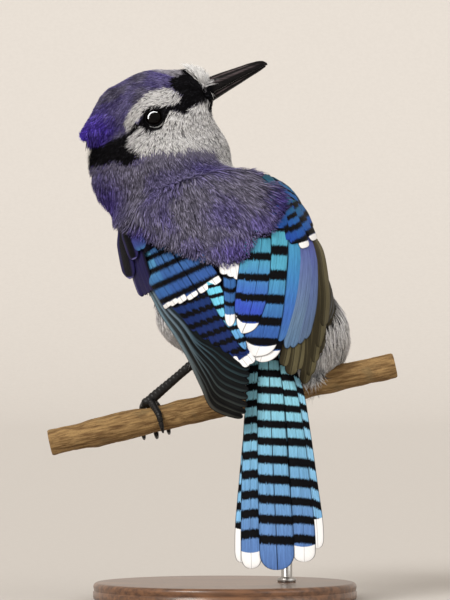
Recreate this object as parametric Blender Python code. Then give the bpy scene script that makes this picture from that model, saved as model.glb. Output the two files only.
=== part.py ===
"""Blue jay on a cut branch, held over a round base by one rod.

Millimetres in the numbers below, metres in the finished objects.
Axes: +X the viewer's right, +Y away from the viewer, +Z up; Z = 0 is the
underside of the base. The bird's back faces -Y, its head is turned so that
the bill points to +X and a little up.
"""
import math

import bmesh
import bpy
import numpy as np
from mathutils import Matrix, Vector
from mathutils.bvhtree import BVHTree

MM = 0.001

# ---------------------------------------------------------------- dimensions
GAP = 0.35                      # clear space left between neighbouring solids

# head, in its own frame: forward along the bill, up, and side (to the viewer)
HEAD_AT = Vector((-33.6, 40.0, 227.2))      # mid-plane point level with the eyes
HEAD_PITCH = math.radians(22.0)             # bill raised above level
EYE_SIDE = 12.4                             # eyeball centre off the mid-plane
EYE_R = 4.6
BILL_BASE = 29.6                            # where the bill meets the feathers
BILL_TIP = 59.6
BILL_HALF_WIDTH = 4.6

# trunk frame: r = bird's right, f = toward the neck, d = out of the back
TRUNK_AT = Vector((1.0, 10.0, 155.0))
AXIS_F = Vector((-0.320, 0.620, 0.710)).normalized()
AXIS_D = Vector((0.047, -0.739, 0.667))
AXIS_D = (AXIS_D - AXIS_F * AXIS_D.dot(AXIS_F)).normalized()
AXIS_R = AXIS_F.cross(AXIS_D).normalized()

NECK_CUT_AT = Vector((-20.0, 40.0, 189.0))  # where neck and trunk part
NECK_CUT_N = Vector((-0.33, 0.30, 0.89)).normalized()
HEAD_CUT_AT = Vector((-34.0, 40.0, 209.0))  # where head and neck part
HEAD_CUT_N = Vector((0.10, 0.0, 1.0)).normalized()
CREST_CUT = -19.0                           # crest is all of the head behind this

# branch and stand
BRANCH_LEFT = Vector((-82.3, 0.0, 73.3))
BRANCH_RIGHT = Vector((79.9, 0.0, 109.9))
BRANCH_R_LEFT = 6.6
BRANCH_R_RIGHT = 6.0
BASE_R = 62.0
BASE_H = 8.0
BASE_BEVEL = 1.2
ROD_R = 2.6
ROD_X = 29.0

# tail: seven blades side by side; (left edge, right edge, tip height) at the tips
TAIL_TOP_Z = 106.0
TAIL_TOP_X = (10.2, 37.0)
TAIL_TOP_Y = -35.5
TAIL_TIP_Y = -55.0
TAIL_BLADES = ((3.7, 8.0, 20.5), (8.0, 16.4, 17.2), (16.4, 24.8, 16.2),
               (24.8, 32.8, 16.2), (32.8, 41.0, 20.0), (41.0, 46.2, 27.0))
TAIL_T_TOP = 3.6
TAIL_T_TIP = 1.3

# legs
TOE_R = 1.55
TARSUS_R = 2.0
LEFT_FOOT_X = -36.0
RIGHT_FOOT_X = 15.0

VOXEL = 1.9                     # grain of the fused flesh
SMOOTH_ROUNDS = 13

TRIS_BODY = 2900                # triangle budgets
TRIS_LEG = 560

# ------------------------------------------------------------------- helpers
for leftover in list(bpy.data.objects):
    bpy.data.objects.remove(leftover, do_unlink=True)

COL = bpy.context.scene.collection


def material(name, colour, rough, metal=0.0):
    m = bpy.data.materials.new(name)
    m.use_nodes = True
    b = m.node_tree.nodes["Principled BSDF"]
    b.inputs["Base Color"].default_value = (*colour, 1.0)
    b.inputs["Roughness"].default_value = rough
    b.inputs["Metallic"].default_value = metal
    m.diffuse_color = (*colour, 1.0)
    return m


def frame_matrix(origin, ax, ay, az):
    m = Matrix((ax, ay, az)).transposed().to_4x4()
    m.translation = origin
    return m


HF = Vector((math.cos(HEAD_PITCH), 0.0, math.sin(HEAD_PITCH)))
HU = Vector((-math.sin(HEAD_PITCH), 0.0, math.cos(HEAD_PITCH)))
HS = Vector((0.0, -1.0, 0.0))
HEAD = frame_matrix(HEAD_AT, HF, HS, HU)        # local x = forward, y = side, z = up
BODY = frame_matrix(TRUNK_AT, AXIS_R, AXIS_F, AXIS_D)
WORLD = Matrix.Identity(4)


def blob(bm, frame, centre, radii, tilt=0.0, axis='Y'):
    """One ellipsoid of flesh and feathers, tilted about a local axis."""
    m = (frame @ Matrix.Translation(centre) @ Matrix.Rotation(math.radians(tilt), 4, axis)
         @ Matrix.Diagonal((*radii, 1.0)))
    bmesh.ops.create_icosphere(bm, subdivisions=4, radius=1.0, matrix=m)


def run(bm, frame, a, b, ra, rb, n=5, flat=1.0):
    """A tapering run of overlapping balls from a to b."""
    for i in range(n):
        t = i / (n - 1)
        c = [a[k] + (b[k] - a[k]) * t for k in range(3)]
        r = ra + (rb - ra) * t
        blob(bm, frame, c, (r, r * flat, r))


def evaluated(ob):
    dg = bpy.context.evaluated_depsgraph_get()
    dg.update()
    me = bpy.data.meshes.new_from_object(ob.evaluated_get(dg))
    out = bmesh.new()
    out.from_mesh(me)
    bpy.data.meshes.remove(me)
    return out


def scratch(bm, name="scratch"):
    me = bpy.data.meshes.new(name)
    bm.to_mesh(me)
    ob = bpy.data.objects.new(name, me)
    COL.objects.link(ob)
    return ob


def drop(ob):
    me = ob.data
    bpy.data.objects.remove(ob, do_unlink=True)
    bpy.data.meshes.remove(me)


def fuse(bm, voxel, rounds, tris):
    """Grow the blobs together, soften the joins and thin the mesh."""
    ob = scratch(bm)
    rm = ob.modifiers.new("grow", 'REMESH')
    rm.mode = 'VOXEL'
    rm.voxel_size = voxel
    sm = ob.modifiers.new("soften", 'SMOOTH')
    sm.factor = 0.5
    sm.iterations = rounds
    dense = evaluated(ob)
    drop(ob)
    bmesh.ops.triangulate(dense, faces=dense.faces)
    ob = scratch(dense)
    de = ob.modifiers.new("thin", 'DECIMATE')
    de.ratio = min(1.0, tris / len(dense.faces))
    dense.free()
    out = evaluated(ob)
    drop(ob)
    return out


def cut(bm, at, normal, keep_above):
    """Part a closed solid with a plane and close the cut face."""
    out = bm.copy()
    n = normal if keep_above else -normal
    co = at + n * (GAP / 2)
    geom = out.verts[:] + out.edges[:] + out.faces[:]
    bmesh.ops.bisect_plane(out, geom=geom, plane_co=co, plane_no=n,
                           clear_inner=True, clear_outer=False, dist=0.02)
    rim = [e for e in out.edges if e.is_boundary]
    bmesh.ops.holes_fill(out, edges=rim, sides=0)
    bmesh.ops.triangulate(out, faces=[f for f in out.faces if len(f.verts) > 4])
    bmesh.ops.remove_doubles(out, verts=out.verts, dist=0.03)
    bmesh.ops.recalc_face_normals(out, faces=out.faces)
    return out


def minus(bm, cutter, name="cutter"):
    """Boolean difference of two closed solids."""
    a = scratch(bm)
    b = scratch(cutter, name)
    md = a.modifiers.new("carve", 'BOOLEAN')
    md.operation = 'DIFFERENCE'
    md.solver = 'EXACT'
    md.object = b
    out = evaluated(a)
    drop(a)
    drop(b)
    bmesh.ops.triangulate(out, faces=out.faces)
    bmesh.ops.remove_doubles(out, verts=out.verts, dist=0.02)
    bmesh.ops.dissolve_degenerate(out, edges=out.edges, dist=0.02)
    return biggest(out)


def biggest(bm):
    """Keep the largest connected piece."""
    seen, best = set(), []
    for f in bm.faces:
        if f in seen:
            continue
        stack, comp = [f], []
        seen.add(f)
        while stack:
            g = stack.pop()
            comp.append(g)
            for e in g.edges:
                for h in e.link_faces:
                    if h not in seen:
                        seen.add(h)
                        stack.append(h)
        if len(comp) > len(best):
            best = comp
    keep = set(best)
    bmesh.ops.delete(bm, geom=[f for f in bm.faces if f not in keep], context='FACES')
    loose = [v for v in bm.verts if not v.link_faces]
    bmesh.ops.delete(bm, geom=loose, context='VERTS')
    return bm


def swollen(bm, by):
    """A copy pushed out along its normals, used only for carving."""
    out = bm.copy()
    out.normal_update()
    moves = [v.normal * by for v in out.verts]
    for v, m in zip(out.verts, moves):
        v.co += m
    return out


def tube(path, radii, sides=10, squash=1.0, up=Vector((0, 0, 1))):
    """A closed round solid along a path, with domed ends."""
    bm = bmesh.new()
    rings = []
    n = len(path)
    for i, (p, r) in enumerate(zip(path, radii)):
        t = (path[min(i + 1, n - 1)] - path[max(i - 1, 0)]).normalized()
        s = t.cross(up)
        s = s.normalized() if s.length > 1e-6 else t.orthogonal().normalized()
        w = s.cross(t).normalized()
        rings.append([bm.verts.new(p + s * (r * math.cos(2 * math.pi * k / sides))
                                   + w * (r * squash * math.sin(2 * math.pi * k / sides)))
                      for k in range(sides)])
    for a, b in zip(rings, rings[1:]):
        for k in range(sides):
            bm.faces.new((a[k], a[(k + 1) % sides], b[(k + 1) % sides], b[k]))
    for ring, sign, i in ((rings[0], -1, 0), (rings[-1], 1, n - 1)):
        t = (path[min(i + 1, n - 1)] - path[max(i - 1, 0)]).normalized()
        tip = bm.verts.new(path[i] + t * (sign * radii[i] * 0.6))
        for k in range(sides):
            bm.faces.new((ring[k], ring[(k + 1) % sides], tip))
    bmesh.ops.recalc_face_normals(bm, faces=bm.faces)
    return bm


def join(*parts):
    out = bmesh.new()
    for p in parts:
        me = bpy.data.meshes.new("tmp")
        p.to_mesh(me)
        out.from_mesh(me)
        bpy.data.meshes.remove(me)
    return out


def node(name, bm, mat, smooth=True):
    """Hand a finished closed solid over as a named object, in metres."""
    bmesh.ops.triangulate(bm, faces=[f for f in bm.faces if len(f.verts) > 4])
    bmesh.ops.recalc_face_normals(bm, faces=bm.faces)
    bmesh.ops.scale(bm, vec=(MM, MM, MM), verts=bm.verts)
    me = bpy.data.meshes.new(name)
    bm.to_mesh(me)
    for p in me.polygons:
        p.use_smooth = smooth
    me.materials.append(mat)
    ob = bpy.data.objects.new(name, me)
    COL.objects.link(ob)
    return ob


def spline(xs, ys, x):
    """Smooth monotone-ish interpolation through named stations."""
    xs, ys = np.asarray(xs, float), np.asarray(ys, float)
    if xs[0] > xs[-1]:
        xs, ys = xs[::-1], ys[::-1]
    x = min(max(x, xs[0]), xs[-1])
    i = min(int(np.searchsorted(xs, x, side='right')) - 1, len(xs) - 2)
    i = max(i, 0)
    h = xs[i + 1] - xs[i]
    t = (x - xs[i]) / h

    def slope(k):
        if k <= 0:
            return (ys[1] - ys[0]) / (xs[1] - xs[0])
        if k >= len(xs) - 1:
            return (ys[-1] - ys[-2]) / (xs[-1] - xs[-2])
        a = (ys[k] - ys[k - 1]) / (xs[k] - xs[k - 1])
        b = (ys[k + 1] - ys[k]) / (xs[k + 1] - xs[k])
        return 0.0 if a * b <= 0 else 2 * a * b / (a + b)
    m0, m1 = slope(i) * h, slope(i + 1) * h
    return float((2 * t**3 - 3 * t**2 + 1) * ys[i] + (t**3 - 2 * t**2 + t) * m0
                 + (-2 * t**3 + 3 * t**2) * ys[i + 1] + (t**3 - t**2) * m1)


# ------------------------------------------------------------ flesh, as blobs
flesh = bmesh.new()
# skull, forehead, cheeks, chin
blob(flesh, HEAD, (0.0, 0.0, 3.6), (23.5, 16.6, 19.4))
blob(flesh, HEAD, (15.5, 0.0, 4.6), (16.0, 11.6, 13.4))
blob(flesh, HEAD, (22.0, 0.0, 2.5), (10.5, 7.2, 8.6))
blob(flesh, HEAD, (3.0, 0.0, -8.0), (20.0, 17.6, 15.0))
blob(flesh, HEAD, (15.0, 0.0, -8.0), (11.5, 10.5, 11.0))
# crest, swept back and down to a blunt point
run(flesh, HEAD, (-13.0, 0.0, 10.0), (-29.5, 0.0, 6.0), 12.0, 4.6, 6, 0.80)
run(flesh, HEAD, (-26.0, 0.0, 5.8), (-34.5, 0.0, 4.8), 6.0, 3.4, 4, 0.75)
# thick neck down to the shoulders
blob(flesh, WORLD, (-30.5, 39.0, 199.0), (32.0, 29.0, 25.0))
blob(flesh, HEAD, (-21.0, 0.0, -13.0), (17.0, 14.0, 12.0))
blob(flesh, WORLD, (-20.0, 44.0, 206.0), (23.0, 22.0, 24.0))
# upper back and shoulders
blob(flesh, WORLD, (-9.5, 28.0, 178.5), (43.5, 33.0, 26.0))
# barrel of the trunk, belly, rump
blob(flesh, BODY, (1.5, 12.0, -1.0), (39.0, 40.0, 34.5))
blob(flesh, BODY, (3.0, -22.0, -2.0), (30.0, 36.0, 27.0))
blob(flesh, BODY, (0.0, -50.0, -1.0), (19.0, 22.0, 13.0))
# breast, on the far side
blob(flesh, BODY, (0.0, 15.0, -9.0), (34.5, 39.0, 30.0))
blob(flesh, BODY, (2.0, -9.0, -13.0), (32.5, 38.0, 24.5))
# fluffed flanks either side of the wings
blob(flesh, WORLD, (35.0, 5.0, 124.0), (22.8, 20.0, 25.0))
blob(flesh, WORLD, (29.0, 13.0, 138.0), (24.0, 20.0, 22.0))
blob(flesh, WORLD, (-9.0, 9.0, 134.0), (23.0, 20.0, 18.5))
# feathered thigh above the left foot, shorter one on the right
run(flesh, WORLD, (-2.0, 0.0, 125.0), (-11.0, -9.0, 116.5), 10.0, 6.0, 4)
run(flesh, WORLD, (22.0, 0.0, 118.0), (18.0, -4.0, 110.0), 10.0, 6.5, 3)
# coverts above and below the root of the tail
run(flesh, WORLD, (20.0, -29.0, 114.0), (23.0, -33.5, 99.0), 10.5, 6.6, 4, 0.75)
body = fuse(flesh, VOXEL, SMOOTH_ROUNDS, TRIS_BODY)
flesh.free()

# ---------------------------------------------------------------- branch solid
B_DIR = (BRANCH_RIGHT - BRANCH_LEFT).normalized()
B_LEN = (BRANCH_RIGHT - BRANCH_LEFT).length
B_UP = Vector((0, 1, 0)).cross(B_DIR)
B_UP = -B_UP if B_UP.z < 0 else B_UP


def branch_radius(a):
    return BRANCH_R_LEFT + (BRANCH_R_RIGHT - BRANCH_R_LEFT) * a / B_LEN


def branch_at(x):
    """Distance along the branch at a world X."""
    return (x - BRANCH_LEFT.x) / B_DIR.x


def branch_solid(extra, sides=20, rows=9):
    """Slightly knobbly cut length of wood."""
    bm = bmesh.new()
    rings = []
    for i in range(rows):
        a = B_LEN * i / (rows - 1)
        if extra:
            a = -extra + (B_LEN + 2 * extra) * i / (rows - 1)
        knob = 1.0 if extra else 1.0 - 0.025 * (1 + math.sin(a * 0.11 + 1.0))
        ring = []
        for k in range(sides):
            th = 2 * math.pi * k / sides
            r = (branch_radius(a) + extra) * knob
            ring.append(bm.verts.new(BRANCH_LEFT + B_DIR * a + B_UP * (r * math.cos(th))
                                     + Vector((0, 1, 0)) * (r * math.sin(th))))
        rings.append(ring)
    for a, b in zip(rings, rings[1:]):
        for k in range(sides):
            bm.faces.new((a[k], a[(k + 1) % sides], b[(k + 1) % sides], b[k]))
    bm.faces.new(rings[0])
    bm.faces.new(rings[-1])
    bmesh.ops.triangulate(bm, faces=[f for f in bm.faces if len(f.verts) > 4])
    bmesh.ops.recalc_face_normals(bm, faces=bm.faces)
    return bm


# ------------------------------------------------------------- part the flesh
roomy = branch_solid(0.45, 28, 3)
body = minus(body, roomy)
roomy.free()

TAIL_DIR = Vector((0.0, (TAIL_TIP_Y - TAIL_TOP_Y) / (TAIL_TOP_Z - 16.0), -1.0)).normalized()
trunk = cut(body, NECK_CUT_AT, NECK_CUT_N, False)
above = cut(body, NECK_CUT_AT, NECK_CUT_N, True)
neck = cut(above, HEAD_CUT_AT, HEAD_CUT_N, False)
skull = cut(above, HEAD_CUT_AT, HEAD_CUT_N, True)
above.free()
crest_at = HEAD_AT + HF * CREST_CUT
crest = cut(skull, crest_at, HF, False)
head = cut(skull, crest_at, HF, True)
skull.free()
# flat face that the bill grows from
head = cut(head, HEAD_AT + HF * (BILL_BASE - GAP / 2), HF, False)

# eye sockets
for side in (1, -1):
    socket = bmesh.new()
    at = HEAD @ Vector((0.0, side * EYE_SIDE, 0.0))
    bmesh.ops.create_icosphere(socket, subdivisions=3, radius=EYE_R + 0.45,
                               matrix=Matrix.Translation(at) @ Matrix.Diagonal((1.12, 1.0, 1.06, 1.0)))
    head = minus(head, socket)
    socket.free()

# trunk ends where the tail feathers begin
trunk = cut(trunk, Vector((22.0, TAIL_TOP_Y, TAIL_TOP_Z - 3.0)), TAIL_DIR, False)

# --------------------------------------------------------------------- wings
TREE = BVHTree.FromBMesh(body)
# stations along the trunk axis, from shoulder to wing tip
WING_STATIONS = (33.0, 22.0, 0.0, -30.0, -50.0, -70.0, -86.0)
LEFT_WING = dict(
    side=-1, end=-87.0,
    inner=(-11.0, -10.0, -12.0, -22.0, -34.0, -54.0, -74.0),    # degrees from the spine
    outer=(-94.0, -104.0, -103.0, -98.0, -100.0, -99.0, -90.0),
    half_width=(40.0, 44.0, 40.0, 36.5, 35.5, 34.0, 26.5),
    half_depth=(36.0, 38.0, 37.0, 28.0, 21.0, 12.0, 6.0))
RIGHT_WING = dict(
    side=1, end=-78.0,
    inner=(-8.5, -7.5, -9.5, -19.0, -29.0, -30.0, 20.0),
    outer=(90.0, 98.0, 102.0, 92.0, 86.0, 82.0, 80.0),
    half_width=(39.5, 43.5, 46.0, 43.0, 34.5, 26.5, 21.0),
    half_depth=(36.0, 38.0, 37.0, 28.0, 22.0, 12.0, 7.0))
WING_ROWS = 16
WING_COLS = 10
WING_T = 4.2
WING_EDGE_T = 1.1
# steps in thickness where one row of feathers ends on the next
FEATHER_STEPS = ((-8.0, 0.9), (-50.0, 0.8))


def body_radius(y, phi):
    """How far the flesh reaches from the trunk axis at this station."""
    base = TRUNK_AT + AXIS_F * y
    out = AXIS_R * math.sin(phi) + AXIS_D * math.cos(phi)
    hit = TREE.ray_cast(base + out * 75.0, -out, 75.0)
    if hit[0] is None:
        return 0.0
    return (hit[0] - base).dot(out)


def wing(spec):
    bm = bmesh.new()
    top, under = [], []
    start = WING_STATIONS[0]
    for i in range(WING_ROWS):
        u = i / (WING_ROWS - 1)
        y = start + (spec['end'] - start) * u
        p_in = spline(WING_STATIONS, spec['inner'], y)
        p_out = spline(WING_STATIONS, spec['outer'], y)
        wide = spline(WING_STATIONS, spec['half_width'], y)
        deep = spline(WING_STATIONS, spec['half_depth'], y)
        thick = WING_T - sum(s for at, s in FEATHER_STEPS if y < at)
        near_end = min(1.0, (0.25 + u / 0.10), 0.30 + (1.0 - u) / 0.12)
        row_t, row_u = [], []
        for j in range(WING_COLS):
            v = j / (WING_COLS - 1)
            phi = math.radians(p_in + (p_out - p_in) * v)
            edge = min(1.0, 0.0 + math.sin(math.pi * v) ** 0.6 * 1.15)
            t = WING_EDGE_T + (thick * min(near_end, 1.0) - WING_EDGE_T) * edge
            t = max(t, 0.9)
            flesh_r = body_radius(y, phi)
            design = 1.0 / math.hypot(math.sin(phi) / wide, math.cos(phi) / deep)
            r_in = max(flesh_r + 0.85, design - t)
            base = TRUNK_AT + AXIS_F * y
            out = AXIS_R * math.sin(phi) + AXIS_D * math.cos(phi)
            row_u.append(bm.verts.new(base + out * r_in))
            row_t.append(bm.verts.new(base + out * (r_in + t)))
        top.append(row_t)
        under.append(row_u)
    for i in range(WING_ROWS - 1):
        for j in range(WING_COLS - 1):
            bm.faces.new((top[i][j], top[i + 1][j], top[i + 1][j + 1], top[i][j + 1]))
            bm.faces.new((under[i][j], under[i][j + 1], under[i + 1][j + 1], under[i + 1][j]))
        bm.faces.new((top[i][0], under[i][0], under[i + 1][0], top[i + 1][0]))
        bm.faces.new((top[i][-1], top[i + 1][-1], under[i + 1][-1], under[i][-1]))
    for j in range(WING_COLS - 1):
        bm.faces.new((top[0][j], top[0][j + 1], under[0][j + 1], under[0][j]))
        bm.faces.new((top[-1][j], under[-1][j], under[-1][j + 1], top[-1][j + 1]))
    bmesh.ops.triangulate(bm, faces=bm.faces)
    bmesh.ops.recalc_face_normals(bm, faces=bm.faces)
    return bm


wing_left = wing(LEFT_WING)
wing_right = wing(RIGHT_WING)

# ---------------------------------------------------------------------- tail
def tail():
    """Overlapping blades as one solid: rounded tips, a low ridge down each."""
    bm = bmesh.new()
    rows, per = 9, 4
    x_tip0, x_tip1 = TAIL_BLADES[0][0], TAIL_BLADES[-1][1]
    cols = []
    for k, (xa, xb, zt) in enumerate(TAIL_BLADES):
        n = per + (1 if k == len(TAIL_BLADES) - 1 else 0)
        for j in range(n):
            c = j / per
            cols.append((xa + (xb - xa) * c, 2 * c - 1, zt, k))
    front, back = [], []
    for i in range(rows):
        u = i / (rows - 1)
        fr, bk = [], []
        for x_tip, c, zt, k in cols:
            s = (x_tip - x_tip0) / (x_tip1 - x_tip0)
            # fanning out slowly from the root
            w = u ** 1.25
            x_top = TAIL_TOP_X[0] + (TAIL_TOP_X[1] - TAIL_TOP_X[0]) * s
            x = x_top + (x_tip - x_top) * w
            z_end = zt + 5.0 * abs(c) ** 2.6
            z = TAIL_TOP_Z + (z_end - TAIL_TOP_Z) * u
            y = TAIL_TOP_Y + (TAIL_TIP_Y - TAIL_TOP_Y) * (TAIL_TOP_Z - z) / (TAIL_TOP_Z - 16.0)
            y += 3.2 * (2 * s - 1) ** 2           # cupped: the outer blades lie deeper
            t = TAIL_T_TOP + (TAIL_T_TIP - TAIL_T_TOP) * u
            ridge = 0.35 * (1 - abs(c)) * (1 - 0.5 * u)
            fr.append(bm.verts.new((x, y - t / 2 - ridge, z)))
            bk.append(bm.verts.new((x, y + t / 2, z)))
        front.append(fr)
        back.append(bk)
    n = len(cols)
    for i in range(rows - 1):
        for j in range(n - 1):
            bm.faces.new((front[i][j], front[i + 1][j], front[i + 1][j + 1], front[i][j + 1]))
            bm.faces.new((back[i][j], back[i][j + 1], back[i + 1][j + 1], back[i + 1][j]))
        bm.faces.new((front[i][0], back[i][0], back[i + 1][0], front[i + 1][0]))
        bm.faces.new((front[i][-1], front[i + 1][-1], back[i + 1][-1], back[i][-1]))
    for j in range(n - 1):
        bm.faces.new((front[0][j], front[0][j + 1], back[0][j + 1], back[0][j]))
        bm.faces.new((front[-1][j], back[-1][j], back[-1][j + 1], front[-1][j + 1]))
    bmesh.ops.triangulate(bm, faces=bm.faces)
    bmesh.ops.recalc_face_normals(bm, faces=bm.faces)
    return bm


tail_bm = tail()
# the body and the wing tips stop short of the tail
for solid in ('trunk', 'wing_left', 'wing_right'):
    bm = globals()[solid]
    fat = swollen(tail_bm, 0.5)
    a_tree, b_tree = BVHTree.FromBMesh(bm), BVHTree.FromBMesh(fat)
    if a_tree.overlap(b_tree):
        globals()[solid] = minus(bm, fat)
    fat.free()
# and each wing is hollowed where the flesh beneath it swells
fat = swollen(trunk, 0.4)
for solid in ('wing_left', 'wing_right'):
    if BVHTree.FromBMesh(globals()[solid]).overlap(BVHTree.FromBMesh(fat)):
        globals()[solid] = minus(globals()[solid], fat)
fat.free()

# ---------------------------------------------------------------------- bill
# stations: distance from the base, culmen height, cutting-edge height,
# chin height, and half-width as a share of the base width
BILL_STATIONS = ((0.00, 8.3, 0.3, -3.0, 1.00), (0.14, 8.4, 1.0, -2.2, 0.93),
                 (0.32, 8.2, 1.7, -1.1, 0.80), (0.52, 7.8, 2.4, 0.0, 0.66),
                 (0.72, 7.5, 3.0, 1.2, 0.54), (0.87, 7.0, 3.4, 2.0, 0.43),
                 (0.96, 6.1, 3.6, 2.7, 0.28))
BILL_LOWER_TIP = 0.965


def bill(upper):
    bm = bmesh.new()
    rings = []
    arc = 7
    for t, top, edge, low, share in BILL_STATIONS:
        f = BILL_BASE + (BILL_TIP - BILL_BASE) * (t if upper else t * BILL_LOWER_TIP)
        w = BILL_HALF_WIDTH * share * (1.0 if upper else 0.90)
        ring = []
        flat = edge + (GAP / 2 if upper else -GAP / 2)
        peak = top if upper else low
        for k in range(arc):
            a = math.pi * k / (arc - 1)
            side = w * math.cos(a)
            up = flat + (peak - flat) * math.sin(a) ** 0.85
            ring.append(bm.verts.new(HEAD @ Vector((f, side, up))))
        rings.append(ring)
    f = BILL_BASE + (BILL_TIP - BILL_BASE) * (1.0 if upper else 0.985 * BILL_LOWER_TIP + 0.012)
    tip_u = 4.4 if upper else 3.0
    tip = bm.verts.new(HEAD @ Vector((f, 0.0, tip_u)))
    for a, b in zip(rings, rings[1:]):
        for k in range(arc):
            bm.faces.new((a[k], a[(k + 1) % arc], b[(k + 1) % arc], b[k]))
    for k in range(arc):
        bm.faces.new((rings[-1][k], rings[-1][(k + 1) % arc], tip))
    bm.faces.new(rings[0])
    bmesh.ops.triangulate(bm, faces=bm.faces)
    bmesh.ops.recalc_face_normals(bm, faces=bm.faces)
    return bm


# ---------------------------------------------------------------------- legs
def on_branch(a, theta, lift):
    """Point beside the branch: theta from the top, + away from the viewer."""
    r = branch_radius(a) + lift
    return (BRANCH_LEFT + B_DIR * a + B_UP * (r * math.cos(theta))
            + Vector((0, 1, 0)) * (r * math.sin(theta)))


def leg(foot_x, heel, lean):
    """Slender shank, three toes over the far side, one over the near side."""
    a0 = branch_at(foot_x)
    bits = []
    palm = on_branch(a0, 0.0, TOE_R + 0.9)
    shank = [palm + Vector((0, 0, 0.2)), palm.lerp(heel, 0.15), palm.lerp(heel, 0.5), heel]
    bits.append(tube(shank, [2.4, TARSUS_R, TARSUS_R, 2.5], 12))
    pad = bmesh.new()
    bmesh.ops.create_icosphere(pad, subdivisions=2, radius=2.9,
                               matrix=Matrix.Translation(palm)
                               @ Matrix.Diagonal((1.05, 1.0, 0.82, 1)))
    bits.append(pad)
    toes = ((lean * 6.5, 128, 52), (lean * 0.5, 140, 58), (-lean * 5.5, 126, 50),
            (lean * 4.0, -105, -52))
    for spread, reach, claw in toes:
        steps = 6
        path, rad = [], []
        for i in range(steps + 1):
            t = i / steps
            th = math.radians(reach * t)
            path.append(on_branch(a0 + spread * min(1.0, 0.25 + t), th, TOE_R + 0.5))
            rad.append(TOE_R * (1.12 - 0.25 * t))
        bits.append(tube(path, rad, 8, 1.0, B_DIR))
        path, rad = [], []
        for i in range(5):
            t = i / 4
            th = math.radians(reach + claw * t)
            lift = 0.9 + 1.9 * math.sin(math.pi * min(1.0, 0.35 + 0.65 * t)) * 0.8 + 0.5 * t
            path.append(on_branch(a0 + spread * 1.0, th, lift))
            rad.append(1.25 * (1 - t) + 0.55 * t)
        bits.append(tube(path, rad, 8, 1.0, B_DIR))
    whole = join(*bits)
    for b in bits:
        b.free()
    ob = scratch(whole)
    whole.free()
    rm = ob.modifiers.new("grow", 'REMESH')
    rm.mode = 'VOXEL'
    rm.voxel_size = 0.42
    dense = evaluated(ob)
    drop(ob)
    bmesh.ops.triangulate(dense, faces=dense.faces)
    ob = scratch(dense)
    de = ob.modifiers.new("thin", 'DECIMATE')
    de.ratio = min(1.0, TRIS_LEG / len(dense.faces))
    dense.free()
    out = evaluated(ob)
    drop(ob)
    return biggest(out)


leg_left = leg(LEFT_FOOT_X, Vector((-13.0, -14.5, 113.5)), 1.0)
leg_right = leg(RIGHT_FOOT_X, Vector((20.0, -5.0, 116.0)), -1.0)
fat = swollen(trunk, 0.45)
leg_left = minus(leg_left, fat)
leg_right = minus(leg_right, fat)
fat.free()

# --------------------------------------------------------------------- stand
rod_a = branch_at(ROD_X)
rod_top = (BRANCH_LEFT + B_DIR * rod_a).z - branch_radius(rod_a) - 1.1
rod = bmesh.new()
bmesh.ops.create_cone(rod, cap_ends=True, segments=24, radius1=ROD_R, radius2=ROD_R,
                      depth=rod_top - BASE_H - GAP,
                      matrix=Matrix.Translation((ROD_X, 0, (rod_top + BASE_H + GAP) / 2)))
disc = bmesh.new()
bmesh.ops.create_cone(disc, cap_ends=True, segments=48, radius1=BASE_R, radius2=BASE_R,
                      depth=BASE_H, matrix=Matrix.Translation((0, 0, BASE_H / 2)))
disc_ob = scratch(disc)
bv = disc_ob.modifiers.new("soft edge", 'BEVEL')
bv.width = BASE_BEVEL
bv.segments = 2
bv.limit_method = 'ANGLE'
disc = evaluated(disc_ob)
drop(disc_ob)

# --------------------------------------------------------- hand the solids over
CROWN = material("feather_crown", (0.16, 0.14, 0.27), 0.85)
CREST = material("feather_crest", (0.14, 0.09, 0.36), 0.85)
MANTLE = material("feather_mantle", (0.20, 0.18, 0.30), 0.85)
TRUNK_M = material("feather_trunk", (0.42, 0.42, 0.46), 0.85)
WING_M = material("feather_wing", (0.10, 0.26, 0.52), 0.7)
TAIL_M = material("feather_tail", (0.12, 0.28, 0.50), 0.7)
BILL_M = material("bill_black", (0.03, 0.028, 0.03), 0.35)
EYE_M = material("eye_dark", (0.012, 0.009, 0.008), 0.08)
LEG_M = material("leg_black", (0.05, 0.05, 0.055), 0.5)
WOOD = material("branch_wood", (0.36, 0.25, 0.13), 0.8)
STAND = material("stand_wood", (0.11, 0.06, 0.035), 0.4)
ROD_M = material("stand_metal", (0.35, 0.34, 0.33), 0.35, 1.0)

node("head", head, CROWN)
node("crest", crest, CREST)
node("neck", neck, MANTLE)
node("trunk", globals()['trunk'], TRUNK_M)
node("wing_left", globals()['wing_left'], WING_M)
node("wing_right", globals()['wing_right'], WING_M)
node("tail", tail_bm, TAIL_M)
node("bill_upper", bill(True), BILL_M)
node("bill_lower", bill(False), BILL_M)
for name, side in (("eye_right", 1), ("eye_left", -1)):
    ball = bmesh.new()
    bmesh.ops.create_icosphere(ball, subdivisions=3, radius=EYE_R,
                               matrix=Matrix.Translation(HEAD @ Vector((0.0, side * EYE_SIDE, 0.0))))
    node(name, ball, EYE_M)
node("leg_left", leg_left, LEG_M)
node("leg_right", leg_right, LEG_M)
perch = branch_solid(0.0)
node("perch", perch, WOOD)
node("stand_rod", rod, ROD_M)
node("stand_base", disc, STAND)
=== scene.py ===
import math

import bmesh
import bpy
import numpy as np
from mathutils import Matrix, Vector
from mathutils.bvhtree import BVHTree
from mathutils.kdtree import KDTree


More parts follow.
